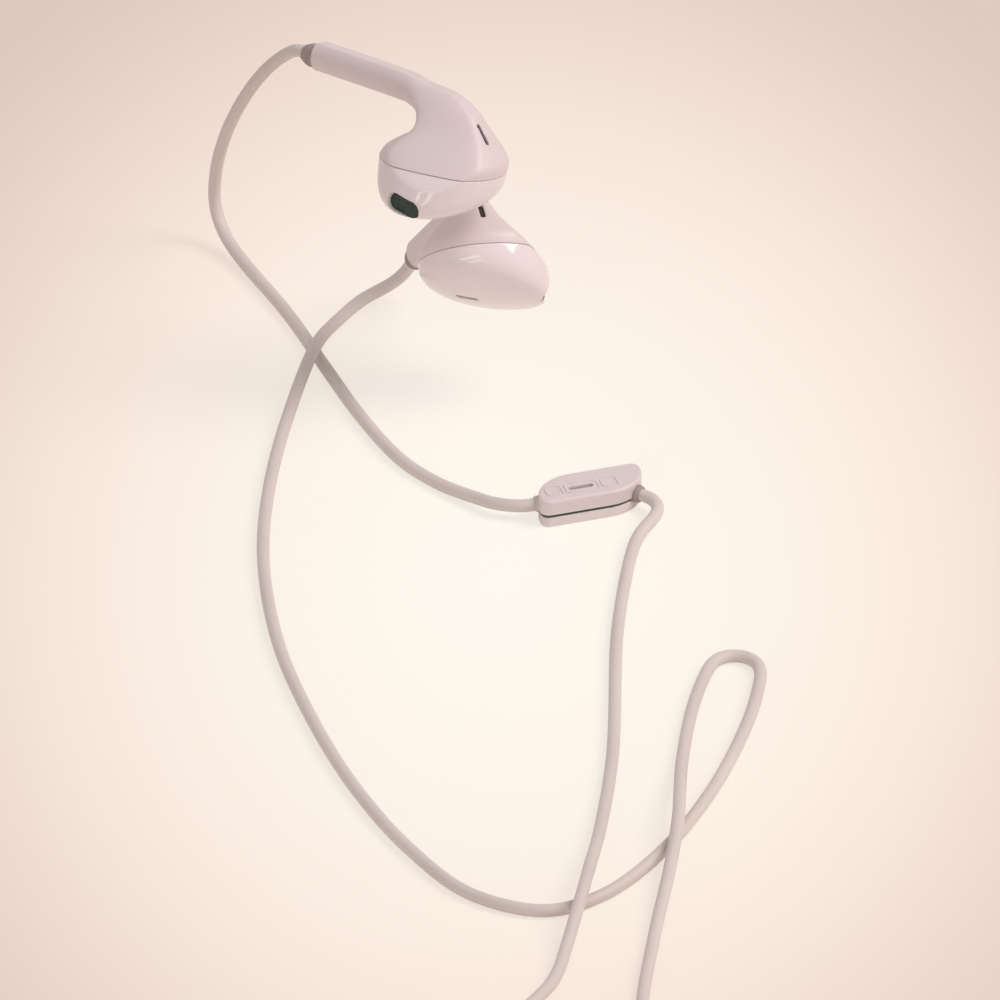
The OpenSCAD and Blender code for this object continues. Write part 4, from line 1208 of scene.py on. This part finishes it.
points, faces = joined(insulatorParts)
plugPieces.append(
    makePiece("plugInsulator", points, faces, blackPolycarbonate, ["plug_insulator"])
)
print("junction and plug made")

insideLooks = {
    "driver_frame": blackPolycarbonate,
    "yoke": nickelSteel,
    "magnet": platedMagnet,
    "top_plate": nickelSteel,
    "voice_coil": enamelledCopper,
    "diaphragm": petFilm,
    "seal_ring": greyTpeAndRecessShade,
    "terminal_board": solderResist,
    "cord_anchor": nickelSteel,
    "remote_switches": nickelSteel,
    "remote_microphone": goldPlating,
    "junction_crimp": nickelSteel,
}
for nodeName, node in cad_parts.items():
    for ending, material in insideLooks.items():
        if nodeName.endswith(ending):
            for place in node.material_slots:
                place.link = "OBJECT"
                place.material = material

# The floor's colours from bright to dim are a painted pool of light, centred on the glow
setting = {
    "floorSize": 6000,
    "glow": (-12, -16),
    "glowReach": (96, 192),
    "bright": "#FFFDF4",
    "middle": "#FFF6EC",
    "edge": "#F6E5DB",
    "dim": "#DCCAC0",
    # The floor's paleness seen here includes its painted pool of light
    "shown": 0.72,  # share of the floor's own paleness that the eye sees without lamps
    "worldLight": 0.43,
    "worldColour": "#FFF6F2",
}

floorMesh = bpy.data.meshes.new("floor")
half = setting["floorSize"] / 2 * mm
floorCorners = [(-half, -half, 0), (half, -half, 0), (half, half, 0), (-half, half, 0)]
floorMesh.from_pydata(floorCorners, [], [[0, 1, 2, 3]])
floorObject = bpy.data.objects.new("floor", floorMesh)
floorObject.location = (0, 0, -0.00002)
scene.collection.objects.link(floorObject)

# 1 for a ray that the eye meets straight on, or in gloss or through glass
def seenDirectly(tree):
    path = addNode(tree, "LightPath").outputs
    rays = {0: path["Is Camera Ray"], 1: path["Is Glossy Ray"]}
    both = addNode(tree, "Math", rays, operation="ADD").outputs[0]
    rays = {0: both, 1: path["Is Transmission Ray"]}
    return addNode(tree, "Math", rays, operation="ADD", use_clamp=True).outputs[0]


# Board: even and matt, its colour carrying a painted pool of light, paler towards the middle and
# dimmer towards the edge
floorMaterial = bpy.data.materials.new("mattBoardWithPaintedLightPool")
floorMaterial.use_nodes = True
tree = floorMaterial.node_tree
tree.nodes.clear()
place = addNode(tree, "TexCoord").outputs["Object"]
spread = addNode(
    tree,
    "Mapping",
    {
        "Vector": place,
        "Location": (
            -setting["glow"][0] / setting["glowReach"][0],
            -setting["glow"][1] / setting["glowReach"][1],
            0,
        ),
        "Scale": (1 / (setting["glowReach"][0] * mm), 1 / (setting["glowReach"][1] * mm), 1),
    },
).outputs[0]
fromMiddle = addNode(tree, "VectorMath", {0: spread}, operation="LENGTH").outputs["Value"]
paintedLightPool = addNode(tree, "ValToRGB", {"Fac": fromMiddle})
paintedLightPool.color_ramp.interpolation = "B_SPLINE"
ramp = paintedLightPool.color_ramp.elements
ramp[0].position, ramp[0].color = 0.08, toLinear(setting["bright"])
ramp[1].position, ramp[1].color = 1.0, toLinear(setting["dim"])
for position, name in ((0.42, "middle"), (0.7, "edge")):
    ramp.new(position).color = toLinear(setting[name])
board = addNode(
    tree,
    "BsdfPrincipled",
    {"Base Color": paintedLightPool.outputs[0], "Roughness": 0.9, "Specular IOR Level": 0.1},
).outputs[0]
glow = addNode(tree, "Emission", {"Color": paintedLightPool.outputs[0], "Strength": 1.0}).outputs[0]
seen = seenDirectly(tree)
share = addNode(tree, "Math", {0: seen, 1: setting["shown"]}, operation="MULTIPLY")
mixed = addNode(tree, "MixShader", {0: share.outputs[0], 1: board, 2: glow}).outputs[0]
addNode(tree, "OutputMaterial", {"Surface": mixed})
floorMesh.materials.append(floorMaterial)

world = bpy.data.worlds.new("studio")
scene.world = world
world.use_nodes = True
tree = world.node_tree
tree.nodes.clear()
dimWorld = addNode(
    tree, "Background", {"Color": toLinear(setting["worldColour"]), "Strength": setting["worldLight"]}
).outputs[0]
paleWorld = addNode(
    tree, "Background", {"Color": toLinear(setting["middle"]), "Strength": 1.0}
).outputs[0]
mixed = addNode(tree, "MixShader", {0: seenDirectly(tree), 1: dimWorld, 2: paleWorld}).outputs[0]
addNode(tree, "OutputWorld", {"Surface": mixed})

lamps = {
    # name: place, aim, width, height, roll, watts, colour
    "keySoftbox": ((620, -60, 760), (-10, 0, 10), 420, 620, 0, 6.2, "#FFF5F0"),
    "frontStrip": ((-360, -760, 330), (-15, 30, 25), 90, 620, -50, 0.8, "#FFF7F2"),
    "lowStrip": ((-260, -800, 90), (-15, 30, 25), 70, 520, -50, 0.5, "#FFF7F2"),
    "fillSoftbox": ((-700, 300, 620), (-10, 0, 10), 600, 600, 0, 0.5, "#F6F0FA"),
}
for name, (place, aim, width, height, roll, watts, colour) in lamps.items():
    data = bpy.data.lights.new(name, "AREA")
    data.shape = "RECTANGLE"
    data.size, data.size_y = width * mm, height * mm
    data.energy = watts
    data.color = toLinear(colour)[:3]
    lamp = bpy.data.objects.new(name, data)
    lamp.location = Vector(place) * mm
    facing = (Vector(place) - Vector(aim)).to_track_quat("Z", "Y")
    lamp.rotation_euler = (facing @ Quaternion((0, 0, 1), math.radians(roll))).to_euler()
    lamp.visible_camera = False
    scene.collection.objects.link(lamp)
print("floor and lamps set")
